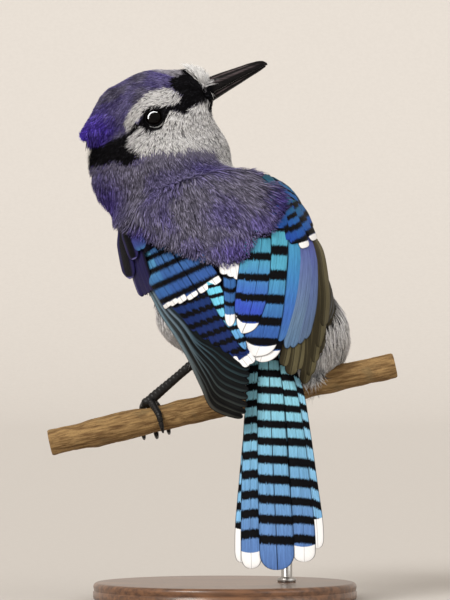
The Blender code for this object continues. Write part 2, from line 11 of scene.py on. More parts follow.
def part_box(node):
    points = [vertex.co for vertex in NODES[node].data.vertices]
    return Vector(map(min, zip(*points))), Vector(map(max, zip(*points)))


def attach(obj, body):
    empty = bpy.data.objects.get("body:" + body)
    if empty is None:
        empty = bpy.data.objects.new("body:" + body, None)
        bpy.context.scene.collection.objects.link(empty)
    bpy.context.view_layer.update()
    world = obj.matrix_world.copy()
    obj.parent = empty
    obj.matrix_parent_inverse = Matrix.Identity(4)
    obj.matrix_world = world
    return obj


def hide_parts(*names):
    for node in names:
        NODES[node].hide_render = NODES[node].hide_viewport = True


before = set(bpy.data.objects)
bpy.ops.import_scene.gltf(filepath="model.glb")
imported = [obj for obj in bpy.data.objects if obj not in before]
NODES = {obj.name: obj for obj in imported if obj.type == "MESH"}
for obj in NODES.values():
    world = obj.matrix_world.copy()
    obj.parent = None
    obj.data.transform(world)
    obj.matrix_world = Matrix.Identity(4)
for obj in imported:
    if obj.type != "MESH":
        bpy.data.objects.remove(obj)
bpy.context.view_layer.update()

# Lengths below are millimetres; meshes are written in metres. +X right, +Y away, +Z up.
MM = 0.001
PX = 0.47                       # millimetres to one picture element at Y = 0
CAM_D = 2500.0
CAM_Z = 140.5
RNG = np.random.default_rng(20417)

COL = bpy.context.scene.collection


def unit(v):
    return v / (np.linalg.norm(v, axis=-1, keepdims=True) + 1e-12)


def srgb(r, g, b):
    """8-bit colour as seen, to linear."""
    c = np.array([r, g, b], float) / 255.0
    return np.where(c <= 0.04045, c / 12.92, ((c + 0.055) / 1.055) ** 2.4)


def lerp(a, b, t):
    return a + (b - a) * t


def smooth(e0, e1, x):
    t = np.clip((x - e0) / (e1 - e0), 0, 1)
    return t * t * (3 - 2 * t)


# ------------------------------------------------------------------ the frames
PITCH = math.radians(22.0)
HEAD_AT = np.array([-33.6, 40.0, 227.2])
HF = np.array([math.cos(PITCH), 0.0, math.sin(PITCH)])
HU = np.array([-math.sin(PITCH), 0.0, math.cos(PITCH)])
HS = np.array([0.0, -1.0, 0.0])
TRUNK_AT = np.array([1.0, 10.0, 155.0])
BF = unit(np.array([-0.320, 0.620, 0.710]))
BD = np.array([0.047, -0.739, 0.667])
BD = unit(BD - BF * (BD @ BF))
BR = np.cross(BF, BD)
EYE_SIDE = 12.4
EYE_R = 4.6
HEAD_SCALE = 0.92


def head_local(p):
    q = p - HEAD_AT
    return q @ HF, q @ HS, q @ HU


def head_point(f, s, u):
    return HEAD_AT + np.multiply.outer(f, HF) + np.multiply.outer(s, HS) + np.multiply.outer(u, HU)


def head_chart(f, u):
    """Side-on chart of the head, in which its markings are laid out."""
    k = HEAD_SCALE * PX
    return 154 + (f * HF[0] + u * HU[0]) / k, 121 - (f * HF[2] + u * HU[2]) / k


def chart_to_head(hx, hy):
    k = HEAD_SCALE * PX
    dx, dz = (hx - 154) * k, (121 - hy) * k
    return dx * HF[0] + dz * HF[2], dx * HU[0] + dz * HU[2]


def body_local(p):
    q = p - TRUNK_AT
    return q @ BR, q @ BF, q @ BD


def to_view(p):
    """Where a point falls in the picture."""
    k = CAM_D / (CAM_D + p[..., 1]) / PX
    return 225 + p[..., 0] * k, 300 - (p[..., 2] - CAM_Z) * k


# ------------------------------------------------------- support from the solids
def node_tris(names):
    vs, fs, base = [], [], 0
    for n in names:
        me = NODES[n].data
        me.calc_loop_triangles()
        v = np.empty(len(me.vertices) * 3)
        me.vertices.foreach_get("co", v)
        t = np.empty(len(me.loop_triangles) * 3, int)
        me.loop_triangles.foreach_get("vertices", t)
        vs.append(v.reshape(-1, 3) / MM)
        fs.append(t.reshape(-1, 3) + base)
        base += len(vs[-1])
    return np.vstack(vs), np.vstack(fs)


def tree_of(v, f):
    return BVHTree.FromPolygons([tuple(x) for x in v], [tuple(int(i) for i in x) for x in f])


FLESH = ("head", "crest", "neck", "trunk")
SUPPORT_V, SUPPORT_F = node_tris(FLESH + ("wing_left", "wing_right"))
SUPPORT = tree_of(SUPPORT_V, SUPPORT_F)
WING_L = tree_of(*node_tris(("wing_left",)))
WING_R = tree_of(*node_tris(("wing_right",)))
FLESH_V, FLESH_F = node_tris(FLESH)

CAM = Vector((0, -CAM_D, CAM_Z))


def at_view(px, py, tree=None):
    """Point of the near surface seen at a place in the picture."""
    tree = tree or SUPPORT

    def cast(x, y):
        tgt = Vector(((x - 225) * PX, 0, CAM_Z - (y - 300) * PX))
        d = (tgt - CAM).normalized()
        return tree.ray_cast(CAM, d), d

    hit, d = cast(px, py)
    if hit[0] is not None:
        return np.array(hit[0]), np.array(hit[1])
    # beyond the outline: step in toward the middle and keep that depth, a little further back
    cx, cy = (215.0, min(py, 350.0)) if px < 235 else (280.0, min(py, 350.0))
    step = unit(np.array([cx - px, cy - py + 1e-6]))
    for k in range(1, 60):
        h, _ = cast(px + step[0] * k, py + step[1] * k)
        if h[0] is not None:
            y = h[0].y + 0.35 * k
            p = CAM + d * ((y + CAM_D) / d.y)
            return np.array(p), np.array(h[1])
    return np.array(CAM + d * (CAM_D / d.y)), np.array([0, -1.0, 0])


def at_depth(px, py, y):
    """Point seen at a place in the picture, at a given distance away."""
    tgt = Vector(((px - 225) * PX, 0, CAM_Z - (py - 300) * PX))
    d = (tgt - CAM).normalized()
    return np.array(CAM + d * ((y + CAM_D) / d.y))


def at_body(y, deg, tree=None):
    """Outermost point round the trunk axis at a station and an angle from the spine."""
    a = math.radians(deg)
    base = Vector(TRUNK_AT + BF * y)
    out = Vector(BR * math.sin(a) + BD * math.cos(a))
    hit = (tree or SUPPORT).ray_cast(base + out * 70, -out, 70)
    if hit[0] is None:
        return np.array(base + out * 10), np.array(out)
    return np.array(hit[0]), np.array(hit[1])


# ---------------------------------------------------------------- mesh building
class Mesh:
    """Collects vertices, quads or triangles, and named values per vertex."""

    def __init__(self):
        self.v, self.f3, self.f4, self.n = [], [], [], 0
        self.attr, self.uv = {}, []

    def add(self, v, f3=None, f4=None, uv=None, **attr):
        v = np.asarray(v, float).reshape(-1, 3)
        if f3 is not None and len(f3):
            self.f3.append(np.asarray(f3, np.int64) + self.n)
        if f4 is not None and len(f4):
            self.f4.append(np.asarray(f4, np.int64) + self.n)
        self.v.append(v)
        if uv is not None:
            self.uv.append(np.asarray(uv, float).reshape(-1, 2))
        for k, a in attr.items():
            a = np.asarray(a, float)
            if a.ndim == 0:
                a = np.full(len(v), float(a))
            elif a.ndim == 1 and a.shape[0] != len(v):
                a = np.tile(a, (len(v), 1))
            self.attr.setdefault(k, []).append(a)
        self.n += len(v)

    def make(self, name, mats, smooth_shade=True, mat_index=None):
        v = np.vstack(self.v) * MM
        f3 = np.vstack(self.f3) if self.f3 else np.zeros((0, 3), np.int64)
        f4 = np.vstack(self.f4) if self.f4 else np.zeros((0, 4), np.int64)
        me = bpy.data.meshes.new(name)
        me.vertices.add(len(v))
        me.vertices.foreach_set("co", v.ravel())
        loops = np.concatenate([f3.ravel(), f4.ravel()])
        me.loops.add(len(loops))
        me.loops.foreach_set("vertex_index", loops.astype(np.int32))
        starts = np.concatenate([np.arange(len(f3)) * 3, len(f3) * 3 + np.arange(len(f4)) * 4])
        me.polygons.add(len(starts))
        me.polygons.foreach_set("loop_start", starts.astype(np.int32))
        me.update(calc_edges=True)
        me.polygons.foreach_set("use_smooth", np.full(len(starts), smooth_shade))
        for k, parts in self.attr.items():
            a = np.concatenate(parts)
            if a.ndim == 2:
                lay = me.color_attributes.new(k, 'FLOAT_COLOR', 'POINT')
                rgba = np.ones((len(v), 4))
                rgba[:, :3] = a
                lay.data.foreach_set("color", rgba.ravel())
            else:
                lay = me.attributes.new(k, 'FLOAT', 'POINT')
                lay.data.foreach_set("value", a)
        if self.uv:
            uv = np.vstack(self.uv)
            lay = me.uv_layers.new(name="OFBake")
            lay.data.foreach_set("uv", uv[loops].ravel())
        for m in mats:
            me.materials.append(m)
        me.validate()
        ob = bpy.data.objects.new(name, me)
        COL.objects.link(ob)
        return ob


# ----------------------------------------------------- smooth carriers and skin
def object_from(v, f, name="work"):
    me = bpy.data.meshes.new(name)
    me.from_pydata([tuple(x) for x in v], [], [tuple(int(i) for i in x) for x in f])
    ob = bpy.data.objects.new(name, me)
    COL.objects.link(ob)
    return ob


def arrays_of(ob):
    dg = bpy.context.evaluated_depsgraph_get()
    dg.update()
    me = bpy.data.meshes.new_from_object(ob.evaluated_get(dg))
    me.calc_loop_triangles()
    v = np.empty(len(me.vertices) * 3)
    me.vertices.foreach_get("co", v)
    t = np.empty(len(me.loop_triangles) * 3, int)
    me.loop_triangles.foreach_get("vertices", t)
    bpy.data.meshes.remove(me)
    return v.reshape(-1, 3), t.reshape(-1, 3)


def vertex_normals(v, f):
    fn = np.cross(v[f[:, 1]] - v[f[:, 0]], v[f[:, 2]] - v[f[:, 0]])
    n = np.zeros_like(v)
    for k in range(3):
        np.add.at(n, f[:, k], fn)
    return unit(n)


def weld(v, f, eps=1e-3):
    key = np.round(v / eps).astype(np.int64)
    _, idx, inv = np.unique(key, axis=0, return_index=True, return_inverse=True)
    inv = inv.reshape(-1)
    g = inv[f]
    ok = (g[:, 0] != g[:, 1]) & (g[:, 1] != g[:, 2]) & (g[:, 0] != g[:, 2])
    return v[idx], g[ok]


def fused(names, voxel, rounds, grow=0.45):
    """One closed smooth surface over several solids, at their own outer face."""
    vs, fs, base = [], [], 0
    for n in names:
        v, f = weld(*node_tris((n,)))
        v = v + vertex_normals(v, f) * grow
        vs.append(v)
        fs.append(f + base)
        base += len(v)
    ob = object_from(np.vstack(vs), np.vstack(fs))
    rm = ob.modifiers.new("grow", 'REMESH')
    rm.mode = 'VOXEL'
    rm.voxel_size = voxel
    sm = ob.modifiers.new("soften", 'SMOOTH')
    sm.factor = 0.5
    sm.iterations = rounds
    v, f = arrays_of(ob)
    me = ob.data
    bpy.data.objects.remove(ob)
    bpy.data.meshes.remove(me)
    return v - vertex_normals(v, f) * grow, f


FV, FF = fused(FLESH, 1.5, 5)
CV, CF = fused(FLESH + ("wing_left", "wing_right"), 1.5, 9, 0.3)
VV, VF = fused(FLESH + ("wing_left", "wing_right"), 1.5, 9, 5.0)
VTREE = tree_of(VV, VF)
FTREE = tree_of(FV, FF)
CTREE = tree_of(CV, CF)
FN = vertex_normals(FV, FF)
CN = vertex_normals(CV, CF)


def surface(tree, vn, faces, p):
    """Nearest points and blended normals on a carrier for many points."""
    q, n = np.empty_like(p), np.empty_like(p)
    for i in range(len(p)):
        co, no, idx, _ = tree.find_nearest(p[i])
        q[i] = co
        n[i] = vn[faces[idx]].sum(0)
    return q, unit(n)


# ------------------------------------------------------------------ value noise
def lattice(ix, iy, iz, seed):
    h = (ix * 374761393 + iy * 668265263 + iz * 1274126177 + seed * 974634777) & 0xFFFFFFFF
    h = ((h ^ (h >> 13)) * 1103515245) & 0xFFFFFFFF
    h = (h ^ (h >> 16)) & 0xFFFFFFFF
    return h / 4294967295.0


def vnoise(p, size, seed=1):
    """Smooth noise 0..1 over space."""
    q = p / size
    i = np.floor(q).astype(np.int64)
    t = q - i
    t = t * t * (3 - 2 * t)
    out = 0.0
    for dx in (0, 1):
        for dy in (0, 1):
            for dz in (0, 1):
                w = ((t[..., 0] if dx else 1 - t[..., 0]) * (t[..., 1] if dy else 1 - t[..., 1])
                     * (t[..., 2] if dz else 1 - t[..., 2]))
                out = out + w * lattice(i[..., 0] + dx, i[..., 1] + dy, i[..., 2] + dz, seed)
    return out


# --------------------------------------------------------------------- markings
def inside(x, y, poly):
    """Signed distance to a closed outline: negative within."""
    poly = np.asarray(poly, float)
    d = np.full(x.shape, 1e9)
    c = np.zeros(x.shape, bool)
    n = len(poly)
    for i in range(n):
        ax, ay = poly[i]
        bx, by = poly[(i + 1) % n]
        ex, ey = bx - ax, by - ay
        wx, wy = x - ax, y - ay
        t = np.clip((wx * ex + wy * ey) / (ex * ex + ey * ey + 1e-9), 0, 1)
        d = np.minimum(d, np.hypot(wx - ex * t, wy - ey * t))
        cross = ((ay > y) != (by > y)) & (x < (bx - ax) * (y - ay) / (by - ay + 1e-12) + ax)
        c ^= cross
    return np.where(c, -d, d)


MASK_FRONT = [(184, 60), (197, 60), (203, 78.4), (207, 85.8), (214, 91), (221, 95), (217, 101),
              (204.7, 104.7), (196.3, 106.8), (188.9, 117.3), (181.5, 115.2), (170, 113.5),
              (166, 108), (175.5, 107.2), (182.5, 102.6), (184, 97), (176.3, 90), (170, 85.8),
              (173.5, 76.3), (184.7, 74)]
MASK_EYE = [(138, 125.8), (142.6, 114.2), (147.9, 110), (157.3, 108.4), (167, 108), (171, 113.5),
            (168.9, 120), (165.5, 127), (161.5, 133), (156, 137.2), (150, 138.4), (144.5, 136.8), (140.5, 132.5)]
MASK_NAPE = [(126, 138.4), (128, 142), (126.8, 147.9), (131, 156.3), (141.6, 163.6), (151, 166),
             (145.8, 170.5), (137.3, 172.5), (122.6, 172.5), (114.2, 169.5), (101.6, 173.5),
             (80, 177), (76, 150), (88.9, 150), (100.5, 149), (110, 144.7), (115.2, 141.6)]
MASK_BROW = [(183.6, 99.5), (181.5, 106.8), (166.8, 107.9), (157.3, 108.9), (147.9, 110),
             (142.6, 114.2), (138.4, 121.6), (132.1, 130), (126, 137), (121.5, 130),
             (122.6, 122.6), (126.8, 115.2), (133.1, 106.8), (141.6, 98.4), (152.1, 92.1),
             (162.6, 89.5), (171, 89.5), (177.3, 92.1), (181.5, 95.2)]
MASK_NASAL = [(194.5, 58), (208, 56), (222, 66), (230, 80.5), (222, 91), (214.5, 90),
              (206.0, 85.2), (200.6, 78.4), (195.0, 69)]
MASK_TOP = [(149, 54), (188, 54), (189, 73), (184.5, 77.5), (174.5, 75.5), (155, 70)]
MASK_CHEEK = [(170, 113.5), (181.5, 115.2), (188.9, 117.3), (196.3, 106.8), (204.7, 104.7),
              (214, 101), (252, 96), (256, 170), (236, 168),
              (222, 158), (196.3, 156), (180.5, 159), (164.7, 164), (150, 166), (141.6, 163.6),
              (131, 156.3), (126.8, 147.9), (127.4, 141.6), (132, 134), (138, 127.5), (141, 131),
              (148, 133.5), (158, 133), (165, 127), (168.9, 120)]
MASK_CHIN = [(214.0, 94), (230, 94), (223, 104), (217.2, 112), (215, 119), (213.2, 110)]
HEAD_LOW = [(60, 20), (245, 20), (245, 150), (236, 164), (222, 158), (196.3, 156), (180.5, 159),
            (164.7, 164), (151, 166), (145.8, 170.5), (137.3, 172.5), (122.6, 172.5),
            (114.2, 169.5), (101.6, 173.5), (80, 177), (60, 170)]

INK = dict(
    crown=(106, 103, 126), crown_dark=(74, 71, 92), violet=(90, 76, 165), crest=(78, 58, 170),
    grey_top=(160, 158, 165), black=(13, 12, 15), white=(238, 238, 240), cheek=(214, 213, 216),
    mantle=(112, 109, 128), mantle_violet=(88, 76, 148), mantle_deep=(74, 64, 130),
    breast=(212, 210, 214), belly=(228, 227, 230), flank=(222, 220, 226), vent=(240, 240, 242))
INK = {k: srgb(*v) for k, v in INK.items()}

HEAD, CREST, FACE, CHEEK, NAPE, MANTLE, UNDER, FLANK, NASAL = range(9)


def plumage(p, rough=1.2):
    """Colour of the coat at points near the surface, and what kind of feather grows there."""
    f, s, u = head_local(p)
    hx, hy = head_chart(f, u)
    jit = rough * 2.0
    hx = hx + (vnoise(p, 1.7, 3) - 0.5) * jit
    hy = hy + (vnoise(p, 1.7, 4) - 0.5) * jit
    vx, vy = to_view(p)
    n = len(p)
    col = np.tile(INK["mantle"], (n, 1))
    kind = np.full(n, MANTLE)

    def paint(mask, ink, k=None):
        mask = np.clip(mask, 0, 1)[:, None]
        col[:] = col * (1 - mask) + ink * mask
        if k is not None:
            kind[mask[:, 0] > 0.5] = k

    # back: grey-violet with violet patches
    xb, yb, zb = body_local(p)
    patch = vnoise(p, 15.0, 11) * 0.7 + vnoise(p, 6.0, 12) * 0.3
    violet = 0.35 * smooth(0.50, 0.68, patch)
    for cx, cy, rx, ry, amt in ((107, 204, 15, 25, 1.2), (205, 168, 26, 9, 0.5), (279, 204, 13, 25, 1.0),
                                (236, 252, 24, 16, 0.9), (262, 226, 26, 16, 0.7), (222, 214, 18, 14, 0.35),
                                (150, 240, 22, 9, 0.3), (139, 240, 9, 11, 1.15)):
        violet = np.maximum(violet, amt * np.exp(-((vx - cx) / rx) ** 2 - ((vy - cy) / ry) ** 2)
                            * (p[:, 1] < 45))
    col[:] = lerp(col, INK["mantle_violet"], np.clip(violet, 0, 1)[:, None])
    deep = smooth(0.55, 0.75, vnoise(p, 9.0, 13)) * violet
    col[:] = lerp(col, INK["mantle_deep"], deep[:, None])

    # underparts: breast, belly, flanks
    back_view = (p[:, 1] < 30) & (vx > 100) & (vx < 306) & (vy < 290)
    back_view &= ~((vx < 150) & (vy > 238) & (p[:, 1] > 10))
    low = smooth(196, 170, p[:, 2])[:, None]
    vent = unit(lerp(np.array([0.62, 0.78, 0.05]), -BD, low))
    axis = lerp(np.array([-26.0, 40.0, 200.0]), TRUNK_AT + np.multiply.outer(yb, BF), low)
    rel = unit(p - axis)
    front = (rel * vent).sum(1) + (vnoise(p, 4.0, 21) - 0.5) * 0.16
    under = smooth(0.02, 0.16, front)
    flank = (vy > 283) & ((vx < 200) | (vx > 300)) & (yb < 2)
    under = np.where((yb < 14) & (np.hypot(xb, zb) < 60), smooth(-0.42, -0.30, front), under)
    under = np.where(back_view, 0.0, under)
    under = np.where((vx < 160) & (vy > 258) & (p[:, 1] > 16), 1.0, under)
    tone = lerp(INK["breast"], INK["belly"], smooth(10, -30, yb)[:, None])
    tone = np.where((flank | (yb < -20))[:, None], INK["flank"], tone)
    paint(under, tone, UNDER)
    kind[(under > 0.5) & flank] = FLANK
    ventral = smooth(-38, -55, yb) * smooth(0.2, 0.5, front)
    paint(ventral, INK["vent"])

    # collar: black from the nape round the far side and over the breast
    collar_line = 186 + 0.22 * (p[:, 0] + 30) + (vnoise(p, 5.0, 31) - 0.5) * 5
    collar = (1 - smooth(3.2, 5.2, np.abs(p[:, 2] - collar_line + 4 * smooth(0.0, 0.8, front)))) \
        * smooth(0.06, 0.22, front)
    paint(collar, INK["black"], NAPE)
    throat = smooth(0.10, 0.22, front) * smooth(-1, 2.5, p[:, 2] - collar_line - 4.5)
    paint(throat, INK["cheek"], CHEEK)

    # head
    head = smooth(0.8, -0.8, inside(hx, hy, HEAD_LOW))
    side_ok = (p[:, 2] > 196) & (np.abs(s) < 26)
    head = head * side_ok
    streak = vnoise(p, 3.0, 41)
    crown = lerp(INK["crown"], INK["crown_dark"], smooth(0.35, 0.8, streak)[:, None])
    paint(head, crown, HEAD)
    violetness = np.clip(smooth(118, 92, hx) * smooth(100, 136, hy) * 1.1
                         + 0.28 * smooth(0.5, 0.7, vnoise(p, 8.0, 42))
                         + 0.30 * np.exp(-((hx - 168) / 14) ** 2 - ((hy - 73) / 5) ** 2), 0, 1)
    col[:] = lerp(col, lerp(INK["violet"], INK["crest"], smooth(112, 140, hy)[:, None]),
                  (violetness * head * (kind == HEAD))[:, None])
    kind[(head > 0.5) & (hx < 112) & (hy > 112)] = CREST

    def chart(poly, soft=0.9):
        return smooth(soft, -soft, inside(hx, hy, poly)) * head

    paint(chart(MASK_TOP, 1.6) * 0.85, INK["grey_top"])
    paint(chart(MASK_CHEEK), INK["cheek"], CHEEK)
    paint(chart(MASK_BROW), INK["cheek"], FACE)
    paint(chart(MASK_NAPE), INK["black"], NAPE)
    line = inside(hx, hy, [(139.5, 124.5), (140, 128.5), (128.5, 142.5), (124.0, 140), (131, 131)])
    paint(smooth(0.7, -0.7, line) * head, INK["black"], FACE)
    paint(chart(MASK_FRONT), INK["black"], FACE)
    paint(chart(MASK_EYE), INK["black"], FACE)
    paint(chart(MASK_CHIN, 0.7), INK["black"], FACE)
    paint(chart(MASK_NASAL), INK["white"], NASAL)
    return col, kind, (hx, hy), (vx, vy), front, head


# ------------------------------------------------------------ lie of the feathers
# place on the head chart and the way the feathers point there
HEAD_FLOW = [
    (205, 84, -0.45, -0.9), (214, 82, 0.75, -0.65), (216, 88, 1.0, -0.15), (198, 70, -0.75, -0.4),
    (190, 75, -0.75, 0.35), (180, 90, -0.55, 0.75), (185, 108, -0.55, 0.80), (200, 100, -0.75, 0.55),
    (170, 66, -1.0, 0.05), (150, 70, -0.97, 0.22), (130, 78, -0.86, 0.5), (112, 95, -0.68, 0.73),
    (100, 115, -0.62, 0.78), (92, 132, -0.75, 0.66), (140, 88, -0.92, 0.38), (125, 100, -0.74, 0.67),
    (115, 118, -0.6, 0.8), (110, 135, -0.55, 0.83), (165, 82, -0.98, 0.1), (155, 96, -0.95, 0.25),
    (138, 104, -0.78, 0.62), (127, 122, -0.45, 0.9), (170, 98, -0.9, 0.1),
    (152, 103, -0.95, 0.2), (168, 118, -0.3, 0.95), (150, 137, -0.15, 0.98), (138, 134, -0.6, 0.8),
    (135, 146, -0.35, 0.93), (150, 150, -0.05, 1.0), (165, 145, 0.02, 1.0), (180, 130, -0.05, 1.0),
    (195, 125, -0.02, 1.0), (208, 120, 0.06, 1.0), (208, 145, 0.15, 0.98), (190, 148, 0.05, 1.0),
    (218, 152, 0.35, 0.93), (120, 155, 0.0, 1.0), (100, 160, 0.02, 1.0), (140, 168, 0.2, 0.97)]
# the same over the back, in the picture
BACK_FLOW = [
    (100, 190, 0.12, 0.99), (110, 215, 0.25, 0.96), (130, 190, 0.22, 0.97), (130, 225, 0.40, 0.91),
    (155, 180, 0.25, 0.96), (165, 215, 0.42, 0.90), (160, 240, 0.48, 0.87), (190, 185, 0.35, 0.93),
    (195, 225, 0.42, 0.90), (200, 255, 0.38, 0.92), (225, 175, 0.50, 0.86), (230, 215, 0.36, 0.93),
    (230, 255, 0.15, 0.98), (255, 190, 0.42, 0.90), (260, 225, 0.05, 1.0), (285, 200, 0.25, 0.96),
    (285, 225, -0.05, 1.0), (250, 245, 0.0, 1.0), (150, 330, 0.45, 0.9), (170, 350, 0.5, 0.86),
    (335, 310, 0.10, 0.99), (340, 350, -0.20, 0.97), (320, 380, -0.35, 0.93)]


def blend_flow(table, x, y, power=3.0):
    t = np.asarray(table, float)
    d2 = (x[:, None] - t[None, :, 0]) ** 2 + (y[:, None] - t[None, :, 1]) ** 2 + 4.0
    w = d2 ** (-power / 2)
    w /= w.sum(1, keepdims=True)
    v = w @ t[:, 2:4]
    return unit(np.stack([v[:, 0], np.zeros(len(v)), -v[:, 1]], 1))


def lie(p, nrm, info):
    """Unit direction, along the surface, that the feathers point."""
    col, kind, (hx, hy), (vx, vy), front, head = info
    on_head = blend_flow(HEAD_FLOW, hx, hy)
    on_back = blend_flow(BACK_FLOW, vx, vy)
    xb, yb, zb = body_local(p)
    to_tail = np.tile(-BF, (len(p), 1)) + np.array([0, 0.0, -0.25])
    neck_down = np.tile(np.array([0.10, 0.10, -1.0]), (len(p), 1))
    far = lerp(neck_down, unit(to_tail), smooth(198, 178, p[:, 2])[:, None])
    away = smooth(-0.05, 0.45, nrm[:, 1])[:, None]
    body = lerp(on_back, unit(far), away)
    flow = lerp(body, on_head, head[:, None])
    flow = flow - nrm * (flow * nrm).sum(1, keepdims=True)
    return unit(flow)


# ------------------------------------------------------------------------ skin
def coat_depth(info, p):
    """How thick the coat is over the skin, in millimetres."""
    kind = info[1]
    table = np.array([1.6, 1.6, 1.1, 1.5, 1.8, 2.3, 3.0, 3.4, 1.2])
    return table[kind]


def smooth_scalar(val, faces, n, rounds):
    e = np.vstack([faces[:, [0, 1]], faces[:, [1, 2]], faces[:, [2, 0]]])
    for _ in range(rounds):
        acc = np.zeros(n)
        cnt = np.zeros(n)
        np.add.at(acc, e[:, 0], val[e[:, 1]])
        np.add.at(acc, e[:, 1], val[e[:, 0]])
        np.add.at(cnt, e[:, 0], 1)
        np.add.at(cnt, e[:, 1], 1)
        val = 0.5 * val + 0.5 * acc / np.maximum(cnt, 1)
    return val


INFO_F = plumage(FV)
DEPTH = smooth_scalar(coat_depth(INFO_F, FV), FF, len(FV), 6)
SKIN_V = FV - FN * DEPTH[:, None]
skin_mesh = Mesh()
# painted shade: the skin under the locks carries the coat's markings darkened to 0.55, so the gaps between the locks
# look shaded
skin_mesh.add(SKIN_V, f3=FF, Col=INFO_F[0] * 0.55)
skin = skin_mesh.make("skin", [])


def own_unwrap(ob, angle=60.0, margin=0.004):
    """Unwrap by the piece's own facets."""
    for o in bpy.context.selected_objects:
        o.select_set(False)
    bpy.context.view_layer.objects.active = ob
    ob.select_set(True)
    if not ob.data.uv_layers:
        ob.data.uv_layers.new(name="OFBake")
    ob.data.uv_layers.active_index = 0
    bpy.ops.object.mode_set(mode='EDIT')
    bpy.ops.mesh.select_all(action='SELECT')
    bpy.ops.uv.smart_project(angle_limit=math.radians(angle), island_margin=margin)
    bpy.ops.object.mode_set(mode='OBJECT')
    ob.select_set(False)


own_unwrap(skin)
_me = skin.data
_loops = np.empty(len(_me.loops), int)
_me.loops.foreach_get("vertex_index", _loops)
_uv = np.empty(len(_me.loops) * 2)
_me.uv_layers["OFBake"].data.foreach_get("uv", _uv)
SKIN_UV = _uv.reshape(-1, 3, 2)
SKIN_F = _loops.reshape(-1, 3)
SKIN_TREE = tree_of(SKIN_V, SKIN_F)


def skin_uv(p):
    """Where each root falls on the unwrapped skin."""
    out = np.empty((len(p), 2))
    for i in range(len(p)):
        co, _, idx, _ = SKIN_TREE.find_nearest(p[i])
        a, b, c = SKIN_V[SKIN_F[idx]]
        v0, v1, v2 = b - a, c - a, np.array(co) - a
        d00, d01, d11 = v0 @ v0, v0 @ v1, v1 @ v1
        d20, d21 = v2 @ v0, v2 @ v1
        den = d00 * d11 - d01 * d01 + 1e-12
        v = (d11 * d20 - d01 * d21) / den
        w = (d00 * d21 - d01 * d20) / den
        u = SKIN_UV[idx]
        out[i] = u[0] * (1 - v - w) + u[1] * v + u[2] * w
    return out


# ----------------------------------------------------------------------- tufts
def scatter(v, f, per_mm2, keep, gap):
    """Even random roots over a surface: density in roots to the square millimetre."""
    a, b, c = v[f[:, 0]], v[f[:, 1]], v[f[:, 2]]
    area = np.linalg.norm(np.cross(b - a, c - a), axis=1) / 2
    n = int(area.sum() * per_mm2 * 1.25)
    pick = np.searchsorted(np.cumsum(area) / area.sum(), RNG.random(n))
    pick = np.clip(pick, 0, len(f) - 1)
    r1, r2 = np.sqrt(RNG.random(n)), RNG.random(n)
    p = (1 - r1)[:, None] * a[pick] + (r1 * (1 - r2))[:, None] * b[pick] + (r1 * r2)[:, None] * c[pick]
    p = p[keep(p)]
    # thin out roots that crowd one another, cell by cell
    cell = np.floor(p / gap).astype(np.int64)
    _, idx = np.unique(cell, axis=0, return_index=True)
    p = p[np.sort(idx)]
    return p[RNG.random(len(p)) < 1 - 0.40 * smooth(30, 42, p[:, 1])]


